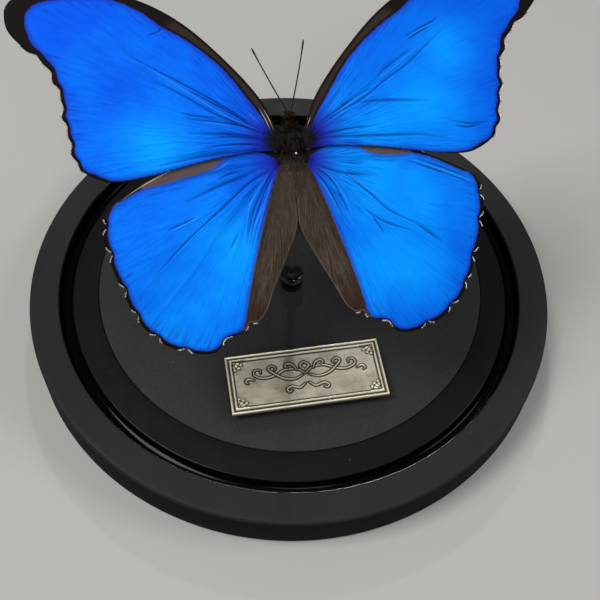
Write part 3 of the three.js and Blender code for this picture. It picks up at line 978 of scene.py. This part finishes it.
forewing = {
    "name": "forewing",
    "level": 0.45,
    "root": (3.0, 2.5),
    "outline": costa + tip + outer_margin + hind_margin,
    "fringe": [tip[-1], *outer_margin],
    "notches": [(55.4, 25), (52.9, 21.3), (51.4, 17.4), (51, 13.4), (50.7, 9.4), (50.1, 5.2), (49.3, 1.2)],
    "notch_depth": 0.6,
    "blue": [(3.4, 0.3), (3.8, 3.4), (5.2, 5.8), (7.2, 9.2), (9.6, 12.8), (12.4, 16.9), (15.2, 20.4),
             (18.5, 23.5), (22.8, 26.9), (27.4, 29.8), (32, 33.4), (37.5, 36.1), (43, 36.9), (49, 37.0),
             (54, 36.2), (56.4, 34.2), (56.6, 30.8), (55.3, 27.7), (53.2, 25.2), (51.4, 22.6),
             (50.7, 19.4), (49.8, 15.6), (50, 11.6), (49.2, 7.2), (49, 3.2), (47.6, 0.1), (44.2, -2.3),
             (40.2, -3.5), (32.6, -2.88), (19.3, -0.58), (9.5, 0.37)],
    "veins": [
        [(3.6, 3.8), (8.0, 5.8), (13.0, 10.0), (19.9, 14.6), (28.8, 20.1), (36.1, 24.8), (47, 30.5),
         (59.6, 35.5)],
        [(3.6, 2.6), (12.7, 8.0), (18.1, 11.3), (26.2, 16.6), (34.0, 22.4), (44, 25.6), (55, 25.2)],
        [(28.8, 19.4), (40, 20.6), (52.4, 19.6)],
        [(22, 14), (34, 14.6), (51, 13)],
        [(14, 9.1), (30, 9.3), (50.4, 7.6)],
        [(3.6, 1.8), (16, 3.6), (32, 4.1), (49.2, 2)],
        [(3.6, 1.2), (18, 1.5), (32, 0.7), (44, -1.9)],
        [(19.9, 14.4), (29.1, 24.0), (37.5, 28.4), (50, 35.6)],
    ],
    "creases": {
        "left": [
            [(4.4, 3.6), (9.9, 7.2), (16.1, 11.9), (25.4, 17.9), (32.5, 22.2), (35.9, 24.4), (35.3, 26)],
            [(7.5, 5), (12.2, 7.2), (17.7, 10), (23.6, 14.1), (30.4, 18.2)],
            [(9.5, 6.6), (13.2, 9.4), (18.6, 12.9), (22.8, 15.5)],
            [(5.5, 3.9), (12.3, 6.8), (20.1, 8.5), (24.1, 9.1)],
            [(8, 3.2), (13, 4.2), (17.5, 4.4)],
            [(6, 1.5), (12, 2.4), (20, 2.4)],
            [(17.8, 8.9), (21.2, 9.5), (25.1, 10.6)],
            [(27, 29.4), (28.5, 28.5), (30.5, 28)],
        ],
        "right": [
            [(4.6, 3.8), (9.4, 6.7), (18.1, 11), (23.2, 14.5), (28.6, 17.7), (33.7, 21.9), (37.4, 24.8)],
            [(5.4, 4.9), (9, 7.1), (14.6, 10.4), (19.6, 12.9)],
            [(21.3, 15.3), (23.8, 17.4), (29.7, 21.1)],
            [(28.6, 24), (31.8, 25.5), (34.5, 26.5), (36.8, 28)],
            [(29.3, 23.4), (31.7, 24.6), (34.2, 25.6)],
            [(7, 3), (13.5, 4), (19, 4)],
            [(38.2, 3.75), (42.7, 2.85), (47.1, 2.9)],
            [(39.1, 2.6), (42, 2), (45.4, 2.4)],
        ],
    },
    "ridges": {
        "left": [
            [(7, 4.9), (13.4, 8.2), (21.3, 13.8), (30.2, 20.4), (35.1, 23.5)],
            [(6.6, 6.1), (9.2, 9.2)],
            [(4.5, 4.3), (5.7, 7.5), (7.2, 10.6)],
            [(3.9, 4.6), (4.9, 7.6), (6.2, 10.4)],
            [(14, 6.8), (19.5, 8)],
        ],
        "right": [
            [(7, 5.6), (11.6, 8.3), (18.8, 12.1)],
            [(22, 15), (26.8, 18.1), (33, 22.6)],
            [(29.2, 23.7), (32, 25.1), (35, 26.4)],
            [(3.6, 4.2), (4.1, 5.8), (5, 7.6)],
            [(3.2, 4.6), (3.6, 6.2), (4.3, 7.6)],
        ],
    },
    "shades": {
        "left": [[(5, 0.6), (17, 0.7), (30, -0.6)], [(4, 2.2), (12, 4.6), (24, 5.8)]],
        "right": [[(16.3, 9.9), (23.2, 9.8), (33, 9)], [(5, 2.6), (15, 2.1), (30.2, 1.3), (37.9, -0.3)]],
    },
    # Circles, as centre and radius, where the blue is lifted to a light cyan: painted sheen.
    "clear": {"left": [(31, 3, 8)], "right": [(20, 4, 11), (31, 7, 13), (38, 20, 9)]},
    "bare_root": 0.0,
    "spots": [(39, 8.5, 2.6), (43, 15, 2.1), (47.5, 27, 1.7), (50, 32, 1.2)],
}
hindwing = {
    "name": "hindwing",
    "level": -0.55,
    "root": (3.0, -2.2),
    "outline": front_edge + outer_edge + back_edge + fold_edge + fold_root,
    "fringe": [front_edge[-1], *outer_edge, *back_edge],
    "notches": [(45.1, -13.6), (44.4, -20), (42.2, -28.5), (39.9, -34.6), (36, -40.6), (29.5, -44.6),
                (19, -43.4), (13.2, -40.4)],
    "notch_depth": 1.1,
    "blue": [(43.9, -14), (43.1, -21.3), (40.9, -28.7), (38.2, -35.8), (33.2, -41.2), (26.8, -44),
             (22.6, -44.2), (19.4, -41.6), (15.4, -39.9), (12.9, -31.6), (10.8, -24.3), (8.4, -16.7),
             (6.0, -9.6), (4.2, -5.2), (3.3, -3.4), (4.6, -1.2), (9, 0.6), (13.6, 0.4)],
    "front_blue": {
        "left": [(16.6, -0.9), (18.4, -2.2), (21, -3.2), (25.4, -4), (30, -5), (35.2, -5.9), (39, -7.5),
                 (42.2, -9.8)],
        "right": [(16.8, -0.9), (18.6, -1.9), (21, -2.6), (25, -3), (28.5, -2.9), (33, -4.3),
                  (37.5, -6.6), (42.4, -9.6)],
    },
    "bare_end": {"left": 36, "right": 29},
    "veins": [
        [(3.8, -2.2), (10, -1.9), (22, -3.2), (33, -6.8), (44.6, -14)],
        [(4.2, -2.8), (10.9, -6.1), (18.4, -12), (24.6, -17.2), (31.4, -20.2), (44, -24)],
        [(18.4, -12), (30.4, -14.6), (44.6, -17)],
        [(21.2, -14.8), (30, -22.4), (41, -31.6)],
        [(18.8, -16.6), (25, -25), (37.6, -38)],
        [(4.2, -3.4), (9.2, -9), (16.4, -24), (24, -44)],
        [(4.0, -4), (7.6, -10), (13, -24), (18.4, -41.8)],
    ],
    "creases": {
        "left": [
            [(4.6, -3.9), (6.9, -7), (10.4, -13.4), (12.8, -21.5)],
            [(4.9, -4.8), (7.6, -9.5), (10.2, -15.2), (12, -21)],
            [(4.6, -4), (10.3, -6.4), (17.3, -11.7), (23.5, -16.3), (28, -20), (35.4, -26.8)],
            [(14.6, -18.2), (16.4, -21.4)],
            [(24.4, -13.6), (30.6, -15.8)],
            [(12, -3.6), (15.5, -4.2), (18, -5.4)],
        ],
        "right": [
            [(11.5, -6), (17.3, -11.2), (21.6, -15.6), (28.1, -19.5)],
            [(16.4, -15.4), (20.5, -18.4), (26.7, -21.1)],
            [(18, -17.2), (20.4, -21.4)],
            [(4.6, -3.9), (8.7, -7.6), (12.4, -15.9)],
            [(4.9, -4.9), (7.9, -9.6), (11, -17.5)],
            [(27.4, -4.6), (34.5, -7.7), (42, -11)],
            [(29.5, -4.4), (36.2, -7.2), (42.6, -10.4)],
        ],
    },
    "ridges": {
        "left": [
            [(4.2, -2.9), (8, -7.4), (10.9, -11.6), (12.4, -17), (13.4, -22)],
            [(6, -7.9), (7.9, -12.1), (11.8, -19.5), (12.9, -22)],
            [(5.4, -6.8), (8.2, -14), (10.8, -20.5)],
            [(22.4, -13.2), (29.4, -16)],
            [(15.4, 1), (20, 0.5), (28.4, -2.2), (36.8, -5.95), (42.5, -9.5)],
            [(15, -1.3), (17, -2.6), (21, -3.7)],
        ],
        "right": [
            [(4.3, -3.3), (8.4, -6.6), (11.6, -12), (12.9, -16.4)],
            [(6, -7.4), (8.8, -12.4), (11.4, -18.6)],
            [(12.4, -6.2), (18, -11), (22.5, -15)],
            [(5, -3.8), (9, -5.8)],
            [(28.4, -4.5), (35.2, -7.45), (42.2, -10.7)],
        ],
    },
    "shades": {
        "left": [[(9, -4), (17, -6.4), (26, -9.8)]],
        "right": [[(5, -3.6), (11.5, -6), (20, -7.4)], [(28.1, -19.5), (34.6, -24.7)]],
    },
    # Circles, as centre and radius, where the blue is lifted to a light cyan: painted sheen.
    "clear": {
        "left": [(17, -22, 12), (26, -33, 13)],
        "right": [(18, -8, 14), (31, -14, 15), (23, -29, 15)],
    },
    "bare_root": 2.2,
    "spots": [(17, -24, 3.4), (27, -20, 2.3), (33.5, -14.5, 2.5), (23, -33, 2.0)],
}


def gaps_to(points, places):
    """For each place, its distance to each of the points."""
    return np.array([np.linalg.norm(points - np.array(place), axis=1) for place in places])


def notched_outline(wing):
    """The wing's outline at an even step, drawn in at the notches between its lobes."""
    line = spline([*wing["outline"], wing["outline"][0]], 0.32)[:-1]
    inward = sum(np.exp(-((gap / notch_width) ** 2)) for gap in gaps_to(line, wing["notches"]))
    tangent = np.roll(line, -1, axis=0) - np.roll(line, 1, axis=0)
    tangent /= np.linalg.norm(tangent, axis=1)[:, None]
    left = np.column_stack([-tangent[:, 1], tangent[:, 0]])
    area = np.sum(line[:, 0] * np.roll(line[:, 1], -1) - np.roll(line[:, 0], -1) * line[:, 1])
    into = left * math.copysign(1, area)
    on_fringe = distance_to(line, spline(wing["fringe"], 1.0))[0] < 0.8
    notch_gap = gaps_to(line, wing["notches"]).min(0)
    at_notch = on_fringe & (notch_gap > cilia_from) & (notch_gap < cilia_to)
    return line + into * (wing["notch_depth"] * inward * on_fringe)[:, None], -into, on_fringe, at_notch


def inside_loop(points, loop):
    """Which points lie inside a closed loop."""
    inside = np.zeros(len(points), bool)
    for a, b in zip(loop, np.roll(loop, -1, axis=0)):
        crosses = (a[1] > points[:, 1]) != (b[1] > points[:, 1])
        where = (b[0] - a[0]) * (points[:, 1] - a[1]) / (b[1] - a[1] + 1e-12) + a[0]
        inside ^= crosses & (points[:, 0] < where)
    return inside


def depth_in(points, loop):
    """Signed distance to a closed loop, positive inside."""
    gap = distance_to(points, np.vstack([loop, loop[:1]]))[0]
    return np.where(inside_loop(points, loop), gap, -gap)


def wing_sheet(outline, lines):
    """A fine triangle net inside an outline, finer still along its fine lines."""
    low, high = outline.min(0), outline.max(0)
    row_gap = wing_grid * math.sqrt(3) / 2
    net = []
    for row, y in enumerate(np.arange(low[1], high[1], row_gap)):
        shift = wing_grid / 2 if row % 2 else 0
        net += [(x + shift, y) for x in np.arange(low[0], high[0], wing_grid)]
    net = np.array(net)
    for line in lines:
        path = spline(line, 0.24)
        aim = np.gradient(path, axis=0)
        across = np.column_stack([-aim[:, 1], aim[:, 0]]) / np.linalg.norm(aim, axis=1)[:, None]
        net = net[distance_to(net, path)[0] > 0.5]
        net = np.vstack([net, *[path + step * across for step in line_lanes]])
    net = net[depth_in(net, outline) > 0.5 * wing_grid]
    points = [Vector(p) for p in np.vstack([outline, net])]
    loop = list(range(len(outline)))
    result = delaunay_2d_cdt(points, [], [loop], 1, 1e-6)
    return np.array([tuple(p) for p in result[0]]), [tuple(f) for f in result[2]]


def line_strength(xy, lines, width):
    """How strongly each point is marked by lines of that half width, which fade towards their ends."""
    strength = np.zeros(len(xy))
    for line in lines:
        gap, share = distance_to(xy, spline(line, 0.6))
        fade = np.sin(math.pi * np.clip(0.1 + 0.87 * share, 0, 1)) ** 0.5
        strength = np.maximum(strength, fade * np.exp(-((gap / width) ** 2)))
    return strength


def wing_height(wing, word, xy):
    """Height of the middle of the membrane above the plane of the wings."""
    root = np.array(wing["root"])
    away = xy - root
    reach = np.hypot(away[:, 0], away[:, 1])
    turn = np.arctan2(away[:, 1], away[:, 0])
    height = wing["level"] + 0.12 * np.sin(turn * 9 + 0.4) * smooth_step(reach, 4, 22)
    ribs = 0.05 * np.sin(turn * 27 + reach * 0.11)
    height += ribs * smooth_step(reach, 2, 8) * smooth_step(-reach, -34, -14)
    height -= 0.22 * smooth_step(reach, 40, 66)
    height += 0.05 * line_strength(xy, wing["veins"], 0.4)
    height -= 0.13 * line_strength(xy, wing["creases"][word], 0.16)
    height += 0.10 * line_strength(xy, wing["ridges"][word], 0.2)
    height -= 0.10 * line_strength(xy, wing["shades"][word], 0.6)
    if wing is forewing:
        return height
    along = (abdomen_start[1] - xy[:, 1]) / (abdomen_length * math.cos(abdomen_droop))
    radius = abdomen_radius * np.interp(along, np.linspace(0, 1, 10), abdomen_shares) + 0.25
    core = abdomen_start[2] - np.clip(along, 0, 1) * abdomen_length * math.sin(abdomen_droop)
    flank = core + np.sqrt(np.clip(radius**2 - xy[:, 0] ** 2, 0, None)) * (xy[:, 0] < radius)
    beside = smooth_step(along, -0.05, 0.08) * smooth_step(-along, -1.05, -0.9)
    height = np.where(xy[:, 0] < 6, np.maximum(height, height + (flank - height) * beside), height)
    fold_gap = distance_to(xy, spline(fold_edge[:3], 0.8))[0]
    return height - 0.75 * (1 - smooth_step(fold_gap, 0, 2.6)) * smooth_step(-xy[:, 1], 18, 22)


def shares_of(points, circles):
    """How far out each point lies, as a share of the radius of the circle nearest by that measure."""
    gaps = gaps_to(points, [circle[:2] for circle in circles])
    return (gaps / np.array([circle[2] for circle in circles])[:, None]).min(0)


def build_wing(wing, word, side, outline, material):
    """Makes one closed wing from its two skins, and writes what its finish reads at each point."""
    xy, faces = wing_sheet(outline, wing["creases"][word] + wing["ridges"][word])
    count = len(xy)
    edge_gap = distance_to(xy, np.vstack([outline, outline[:1]]))[0]
    skin = wing_skin * (0.35 + 0.65 * smooth_step(edge_gap, 0, 1.2))
    middle = wing_height(wing, word, xy)
    top = np.column_stack([xy, middle + skin])
    under = np.column_stack([xy, middle - skin])
    shell = [tuple(f) for f in faces] + [tuple(count + i for i in reversed(f)) for f in faces]
    edges = {}
    for face in faces:
        for a, b in zip(face, (*face[1:], face[0])):
            edges[(a, b)] = edges.get((b, a)) is None
            if not edges[(a, b)]:
                edges[(b, a)] = False
    for (a, b), free in edges.items():
        if free:
            shell.append((b, a, count + a, count + b))
    points = np.vstack([top, under])
    if side < 0:
        points[:, 0] *= -1
        shell = [tuple(reversed(face)) for face in shell]
    place = body_place @ Matrix.Rotation(-side * wing_rise, 4, "Y")
    name = f"{wing['name']}_{word}"
    piece = place_piece(f"{name}_membrane", (points, shell), material, name, place)
    blue_loop = wing["blue"] + wing.get("front_blue", {}).get(word, [])
    blue = depth_in(xy, spline([*blue_loop, blue_loop[0]], 0.6)[:-1])
    notch_gap = gaps_to(xy, wing["notches"]).min(0)
    by_margin = smooth_step(-distance_to(xy, spline(wing["fringe"], 1.0))[0], -3.2, -1.6)
    blue += by_margin * (0.35 - 0.95 * np.exp(-((notch_gap / 1.25) ** 2)))
    away = xy - np.array(wing["root"])
    reach = np.hypot(away[:, 0], away[:, 1])
    # Dark lines along the creases, and the soft shade streaks, are painted shade in the folds of the
    # membrane; the veins add a little real darkening.
    vein_and_crease_shade = line_strength(xy, wing["creases"][word], 0.16)
    vein_and_crease_shade = np.maximum(vein_and_crease_shade, 0.15 * line_strength(xy, wing["veins"], 0.3))
    marks = {
        "blue_depth": blue,
        "vein_and_crease_shade": np.maximum(vein_and_crease_shade, 0.7 * line_strength(xy, wing["shades"][word], 0.45)),
        # Light lines beside the creases and along the costal root: painted highlight on the raised folds
        # and veins.
        "ridge_highlight": line_strength(xy, wing["ridges"][word], 0.14),
        "clear": np.exp(-(shares_of(xy, wing["clear"][word]) ** 2)),
        "reach": reach + wing["bare_root"],
        "eyespot": shares_of(xy, wing["spots"]),
        "edge_gap": edge_gap,
        "fold": fold_weight(wing, word, xy, reach),
    }
    for key, values in marks.items():
        write_attribute(piece.data, key, np.tile(values, 2))
    write_attribute(piece.data, "under", np.repeat([0.0, 1.0], count))
    ray = piece.data.uv_layers.new(name="rays")
    corner = np.zeros(len(piece.data.loops), np.int32)
    piece.data.loops.foreach_get("vertex_index", corner)
    turn = np.tile(np.arctan2(away[:, 1], away[:, 0]), 2)
    rays = np.column_stack([turn[corner] * 10 + side * 3, np.tile(reach, 2)[corner] * 0.02])
    ray.data.foreach_set("uv", rays.astype(np.float32).ravel())
    return piece, place


def fold_weight(wing, word, xy, reach):
    """1 on the hindwing's inner fold, 0.5 on its bare front band, 0.25 behind the forewing's costa."""
    if wing is forewing:
        return 0.25 * smooth_step(xy[:, 1], 2, 5) * smooth_step(-reach, -40, -32)
    fold_line = np.interp(-xy[:, 1], [3.9, 9.6, 16.7, 24.3, 31.6, 40], [4.4, 6.1, 8.4, 10.8, 12.9, 15.6])
    bare_end = wing["bare_end"][word]
    band = smooth_step(xy[:, 1], -9, -7) * smooth_step(xy[:, 0], 12, 16)
    band *= smooth_step(-xy[:, 0], -bare_end - 1.5, -bare_end + 1.5)
    fold = smooth_step(fold_line - xy[:, 0], -0.35, 0.35) * smooth_step(-xy[:, 1], 2.5, 4)
    return np.maximum(fold, 0.5 * band)


def wing_finish():
    """Scales: bright structural blue above with painted shade in the creases and painted highlight on the
    ridges, black-brown at the margins, brown with eyespots below.
    """
    material, tree, shader = start_finish("wing_scales", specular_ior_level=0.05)
    where = object_place(tree)
    rays = add_node(tree, "ShaderNodeUVMap", uv_map="rays").outputs[0]
    depth, reach, edge_gap, fold, ridge_highlight = (
        kept(tree, name) for name in ("blue_depth", "reach", "edge_gap", "fold", "ridge_highlight"))
    cloud = grain(tree, where, 38.0, 3.0)
    fine = grain(tree, where, 900.0, 3.0, 0.65)
    streak = grain(tree, rays, 7.0, 4.0, 0.6)
    blue = scale_blues(tree, depth, reach, kept(tree, "clear"), cloud, fine, streak, ridge_highlight)
    rim = rim_browns(tree, depth, reach, edge_gap, fine, streak, fold, ridge_highlight)
    ragged = plus(tree, depth, rise(tree, fine, 0.2, 0.8, -0.12, 0.12))
    scaled = rise(tree, ragged, -0.2, 0.2)
    above = mix_colour(tree, scaled, rim, blue)
    # The crease lines turn dark blue: painted shade in the folds.
    crease_shading = rise(tree, kept(tree, "vein_and_crease_shade"), 0.1, 0.9, 0.0, 0.85)
    above = mix_colour(tree, crease_shading, above, (0.001, 0.01, 0.13, 1))
    ragged_reach = plus(tree, reach, rise(tree, streak, 0.25, 0.75, -1.5, 1.5))
    above = mix_colour(tree, rise(tree, ragged_reach, 5.0, 2.2), above, (0.006, 0.0045, 0.007, 1))
    below = under_colours(tree, cloud, fine, streak, kept(tree, "eyespot"), edge_gap)
    below_share = kept(tree, "under")
    feed(shader, base_color=mix_colour(tree, below_share, above, below),
         metallic=times(tree, scaled, rise(tree, below_share, 0.6, 0.4, 0.0, 0.3)),
         roughness=rise(tree, plus(tree, streak, fine), 0.6, 1.4, 0.4, 0.55))
    relief = set_relief(tree, shader, streak, 0.00006, 0.3)
    set_relief(tree, shader, cell_gaps(tree, where, 6500.0), 0.00003, 0.35, relief)
    return material


def scale_blues(tree, depth, reach, clear, cloud, fine, streak, ridge_highlight):
    """Clear blue, lifted to light cyan by painted sheen in patches, deeper in streaks with painted shade
    near the root, deeper at the roots and along the margins, with painted highlight along the ridges.
    """
    blue = mix_colour(tree, rise(tree, cloud, 0.36, 0.66), (0.0, 0.08, 0.66, 1), (0.0, 0.13, 0.74, 1))
    # Inside those circles the blue turns light cyan: painted sheen where the wing catches the light.
    sheen_share = times(tree, clear, rise(tree, cloud, 0.3, 0.6, 0.4, 0.9))
    blue = mix_colour(tree, sheen_share, blue, (0.0, 0.3, 0.95, 1))
    # Scale streaks darken the blue, more strongly towards the root: real streaks, with painted shade near
    # the root.
    root_shade = rise(tree, reach, 26, 8)
    streak_and_root_shade = times(tree, rise(tree, streak, 0.42, 0.66, 0.0, 0.85), plus(tree, root_shade, 0.15))
    blue = mix_colour(tree, streak_and_root_shade, blue, (0.001, 0.03, 0.32, 1))
    # Ridge lines go light blue: painted highlight.
    blue = mix_colour(tree, times(tree, ridge_highlight, 0.6), blue, (0.03, 0.27, 0.8, 1))
    ragged = plus(tree, depth, rise(tree, fine, 0.2, 0.8, -0.2, 0.2))
    margin = rise(tree, ragged, 1.3, 0.1, 0.0, 0.6)
    rumple = times(tree, rise(tree, streak, 0.52, 0.62), rise(tree, depth, 3.6, 1.0, 0.0, 0.4))
    deep = calc(tree, "MAXIMUM", calc(tree, "MAXIMUM", rise(tree, reach, 11, 3.5), margin), rumple)
    return mix_colour(tree, deep, blue, (0.01, 0.016, 0.33, 1))


def rim_browns(tree, depth, reach, edge_gap, fine, streak, fold, ridge_highlight):
    """Black-brown margins, a warmer band behind the costa, the bare front band, the inner fold and pale tan
    lines on the ridges as painted highlight.
    """
    dark = mix_colour(tree, fine, (0.0025, 0.0018, 0.0018, 1), (0.008, 0.005, 0.004, 1))
    band = times(tree, rise(tree, edge_gap, 0.35, 0.8), rise(tree, depth, -0.35, -0.8))
    band = times(tree, band, rise(tree, fold, 0.08, 0.22))
    dark = mix_colour(tree, times(tree, band, 0.7), dark, (0.034, 0.023, 0.018, 1))
    brown = mix_colour(tree, rise(tree, streak, 0.34, 0.66), (0.027, 0.019, 0.0135, 1),
                       (0.084, 0.062, 0.045, 1))
    beside_blue = rise(tree, depth, -2.2, -0.3, 0.0, 0.55)
    red = calc(tree, "MAXIMUM", rise(tree, reach, 30, 38, 0.0, 0.75), beside_blue)
    brown = mix_colour(tree, red, brown, (0.022, 0.008, 0.006, 1))
    pale_edge = times(tree, rise(tree, edge_gap, 0.5, 0.15, 0.0, 0.6), rise(tree, reach, 8, 14))
    brown = mix_colour(tree, pale_edge, brown, (0.13, 0.1, 0.075, 1))
    bare = mix_colour(tree, streak, (0.05, 0.035, 0.033, 1), (0.12, 0.088, 0.085, 1))
    rim = mix_colour(tree, rise(tree, fold, 0.3, 0.48), dark, bare)
    rim = mix_colour(tree, rise(tree, fold, 0.55, 0.9), rim, brown)
    # Ridge lines in the dark rims go pale tan: painted highlight on the costal vein.
    return mix_colour(tree, rise(tree, ridge_highlight, 0.35, 0.95, 0.0, 0.9), rim, (0.5, 0.43, 0.31, 1))


def under_colours(tree, cloud, fine, streak, spot, edge_gap):
    """Brown underside with pale ringed eyespots and a light line inside the margin."""
    ground = mix_colour(tree, cloud, (0.045, 0.026, 0.015, 1), (0.11, 0.07, 0.042, 1))
    ground = mix_colour(tree, rise(tree, streak, 0.45, 0.7, 0.0, 0.5), ground, (0.03, 0.018, 0.011, 1))
    band = times(tree, rise(tree, edge_gap, 1.6, 2.0), rise(tree, edge_gap, 2.9, 2.4))
    ground = mix_colour(tree, times(tree, band, 0.7), ground, (0.3, 0.24, 0.16, 1))
    at = plus(tree, spot, rise(tree, fine, 0.2, 0.8, -0.06, 0.06))
    ringed = mix_colour(tree, rise(tree, at, 1.12, 1.0), ground, (0.35, 0.27, 0.14, 1))
    ringed = mix_colour(tree, rise(tree, at, 0.84, 0.74), ringed, (0.006, 0.004, 0.003, 1))
    ringed = mix_colour(tree, rise(tree, at, 0.42, 0.34), ringed, (0.16, 0.05, 0.02, 1))
    return mix_colour(tree, rise(tree, at, 0.2, 0.12), ringed, (0.6, 0.6, 0.58, 1))


def build_fringe_tree():
    """Scale hairs along a margin: a row of flat-lying spikes that point away from the wing."""
    tree, sockets, given = start_tree("margin_fringe", Step="Float", Length="Float", Width="Float",
                                      Spread="Float")
    path = add_node(tree, "GeometryNodeMeshToCurve", {"Mesh": given["Geometry"]}).outputs[0]
    inputs = {"Curve": path, "Length": given["Step"]}
    even = add_node(tree, "GeometryNodeResampleCurve", inputs, mode="LENGTH").outputs[0]
    outward = named_attribute(tree, "outward", "FLOAT_VECTOR")
    jitter = vector_calc(tree, "SCALE", random_vector(tree, given["Seed"]), given["Spread"])
    aim = vector_calc(tree, "ADD", outward, jitter)
    hairs = instance_spikes(tree, even, bent_spike(tree, 1, 0.1), aim, given)
    finish_tree(tree, hairs, given["Finish"])
    return tree, sockets


fringe_step = 0.05
fringe_length = 0.5
fringe_width = 0.07
fringe_tree, fringe_sockets = build_fringe_tree()
fringe_dark = hair_finish("fringe_dark", (0.003, 0.0025, 0.002, 1), (0.014, 0.01, 0.008, 1))
fringe_white = hair_finish("fringe_white", (0.62, 0.6, 0.56, 1), (0.93, 0.91, 0.87, 1), 0.8)


def margin_strips(outline, chosen):
    """The stretches of a closed outline that are chosen, as lists of its point numbers."""
    numbers = np.flatnonzero(chosen[:len(outline)])
    strips = np.split(numbers, np.flatnonzero(np.diff(numbers) > 1) + 1)
    return [strip.tolist() for strip in strips if len(strip) > 1]


def grow_fringe(name, wing, word, outline, outward, chosen, place, material, seed, out=0.0):
    """Grows a fringe on the chosen stretches of the margin, from that far outside it."""
    side = dict(sides)[word]
    level = wing_height(wing, word, outline) - 0.02
    points, edges, aims = [], [], []
    for strip in margin_strips(outline, chosen):
        edges += [(len(points) + k, len(points) + k + 1) for k in range(len(strip) - 1)]
        for i in strip:
            root = outline[i] + outward[i] * out
            points.append((root[0] * side, root[1], level[i]))
            aims.append(place.to_3x3() @ Vector((outward[i][0] * side, outward[i][1], 0.05)))
    mesh = bpy.data.meshes.new(name)
    mesh.from_pydata(points, edges, [])
    mesh.transform(place)
    mesh.transform(Matrix.Scale(MM, 4))
    attribute = mesh.attributes.new("outward", "FLOAT_VECTOR", "POINT")
    attribute.data.foreach_set("vector", np.array(aims, np.float32).ravel())
    values = {"Step": fringe_step * MM, "Length": fringe_length * MM, "Width": fringe_width * MM,
              "Spread": 0.25, "Seed": seed}
    return hang_piece(run_tree(name, mesh, fringe_tree, fringe_sockets, values, material))


def read_attribute(piece, name):
    values = np.zeros(len(piece.data.vertices), np.float32)
    piece.data.attributes[name].data.foreach_get("value", values)
    return values


wing_scales = wing_finish()
fold_hair = hair_finish("fold_hair", (0.028, 0.021, 0.015, 1), (0.12, 0.094, 0.07, 1), 0.4)
root_fur = hair_finish("root_fur", (0.004, 0.003, 0.003, 1), (0.04, 0.03, 0.024, 1), 0.15)
for wing in (hindwing, forewing):
    for word, side in sides:
        outline, outward, on_fringe, at_notch = notched_outline(wing)
        piece, place = build_wing(wing, word, side, outline, wing_scales)
        name = f"{wing['name']}_{word}"
        grow_fringe(f"{name}_fringe", wing, word, outline, outward, on_fringe, place, fringe_dark,
                    21 + side)
        grow_fringe(f"{name}_cilia", wing, word, outline, outward, at_notch, place, fringe_white,
                    31 + side, 0.1)
        upper = read_attribute(piece, "under") < 0.5
        reach = read_attribute(piece, "reach")
        if wing is forewing:
            root_coat = upper * np.clip((3.3 - reach) / 1.5, 0, 1)
            grow_hair(piece, f"{name}_root_hair", root_fur, 260, 1.7, comb=(side * 0.95, 0.12, 0),
                      lay=0.97, spread=0.05, seed=37 + side, coat=root_coat)
        else:
            coat = (read_attribute(piece, "fold") > 0.9) * upper * np.clip(1.2 - reach / 34, 0.1, 1)
            grow_hair(piece, f"fold_hair_{word}", fold_hair, 3000, 1.5, comb=(side * 0.28, -1, 0.04),
                      lay=0.9, spread=0.1, seed=41 + side, coat=coat, width=0.035)


# ---------------------------------------------------------------------------------------------
# Table top, light and camera: a pale matt sheet under the base, and soft boxes high on the left and
# near the camera. They are no part of the display.
# ---------------------------------------------------------------------------------------------
table_mesh = bpy.data.meshes.new("table_top")
table_half = 4.0
table_level = -0.0002
table_corners = [(-1, -1), (1, -1), (1, 1), (-1, 1)]
table_points = [(x * table_half, y * table_half, table_level) for x, y in table_corners]
table_mesh.from_pydata(table_points, [], [(0, 1, 2, 3)])
table_top = add_object("table_top", table_mesh)
table_finish, table_tree, table_shader = start_finish("pale_sheet", roughness=0.85,
                                                      specular_ior_level=0.2)
table_cloud = grain(table_tree, object_place(table_tree), 3.0)
feed(table_shader, base_color=mix_colour(table_tree, table_cloud, (0.36, 0.355, 0.34, 1),
                                         (0.39, 0.382, 0.368, 1)))
table_mesh.materials.append(table_finish)

aim_at = Vector((0, 0, 0.03))


def soft_box(name, place, size, watts, colour=(1, 1, 1)):
    light = bpy.data.lights.new(name, "AREA")
    light.shape = "SQUARE"
    light.size = size
    light.energy = watts
    light.color = colour
    box = add_object(name, light)
    box.location = place
    box.rotation_euler = (aim_at - Vector(place)).to_track_quat("-Z", "Y").to_euler()


soft_box("key_box", (-0.5, -0.06, 0.95), 0.45, 8.8, (1.0, 0.985, 0.96))
soft_box("front_box", (0.0, -0.7, 0.95), 0.35, 3.4, (0.95, 0.98, 1.0))
soft_box("side_box", (0.75, -0.15, 0.75), 0.4, 3.8, (1.0, 0.985, 0.96))
soft_box("lamp_box", (0.09, 0.63, 0.59), 0.035, 1.1)

world = bpy.data.worlds.new("soft_room")
world.use_nodes = True
room = world.node_tree.nodes["Background"]
room.inputs["Color"].default_value = (0.72, 0.74, 0.78, 1)
room.inputs["Strength"].default_value = 0.16
bpy.context.scene.world = world
bpy.context.scene.view_settings.view_transform = "Standard"

view_azimuth = math.radians(11.12)
view_elevation = math.radians(55.75)
camera_place = Vector((-27.6, -156.5, 234.25)) * MM
camera_roll = math.radians(3.33)
image_width = 600
focal_pixels = 925.4
looking = Vector((
    math.sin(view_azimuth) * math.cos(view_elevation),
    math.cos(view_azimuth) * math.cos(view_elevation),
    -math.sin(view_elevation),
))
lens = bpy.data.cameras.new("front_camera")
lens.sensor_width = 36.0
lens.lens = lens.sensor_width * focal_pixels / image_width
lens.clip_start = 0.005
camera = add_object("front_camera", lens)
camera.location = camera_place
camera.rotation_mode = "QUATERNION"
camera.rotation_quaternion = looking.to_track_quat("-Z", "Y") @ Quaternion((0, 0, 1), camera_roll)
bpy.context.scene.camera = camera
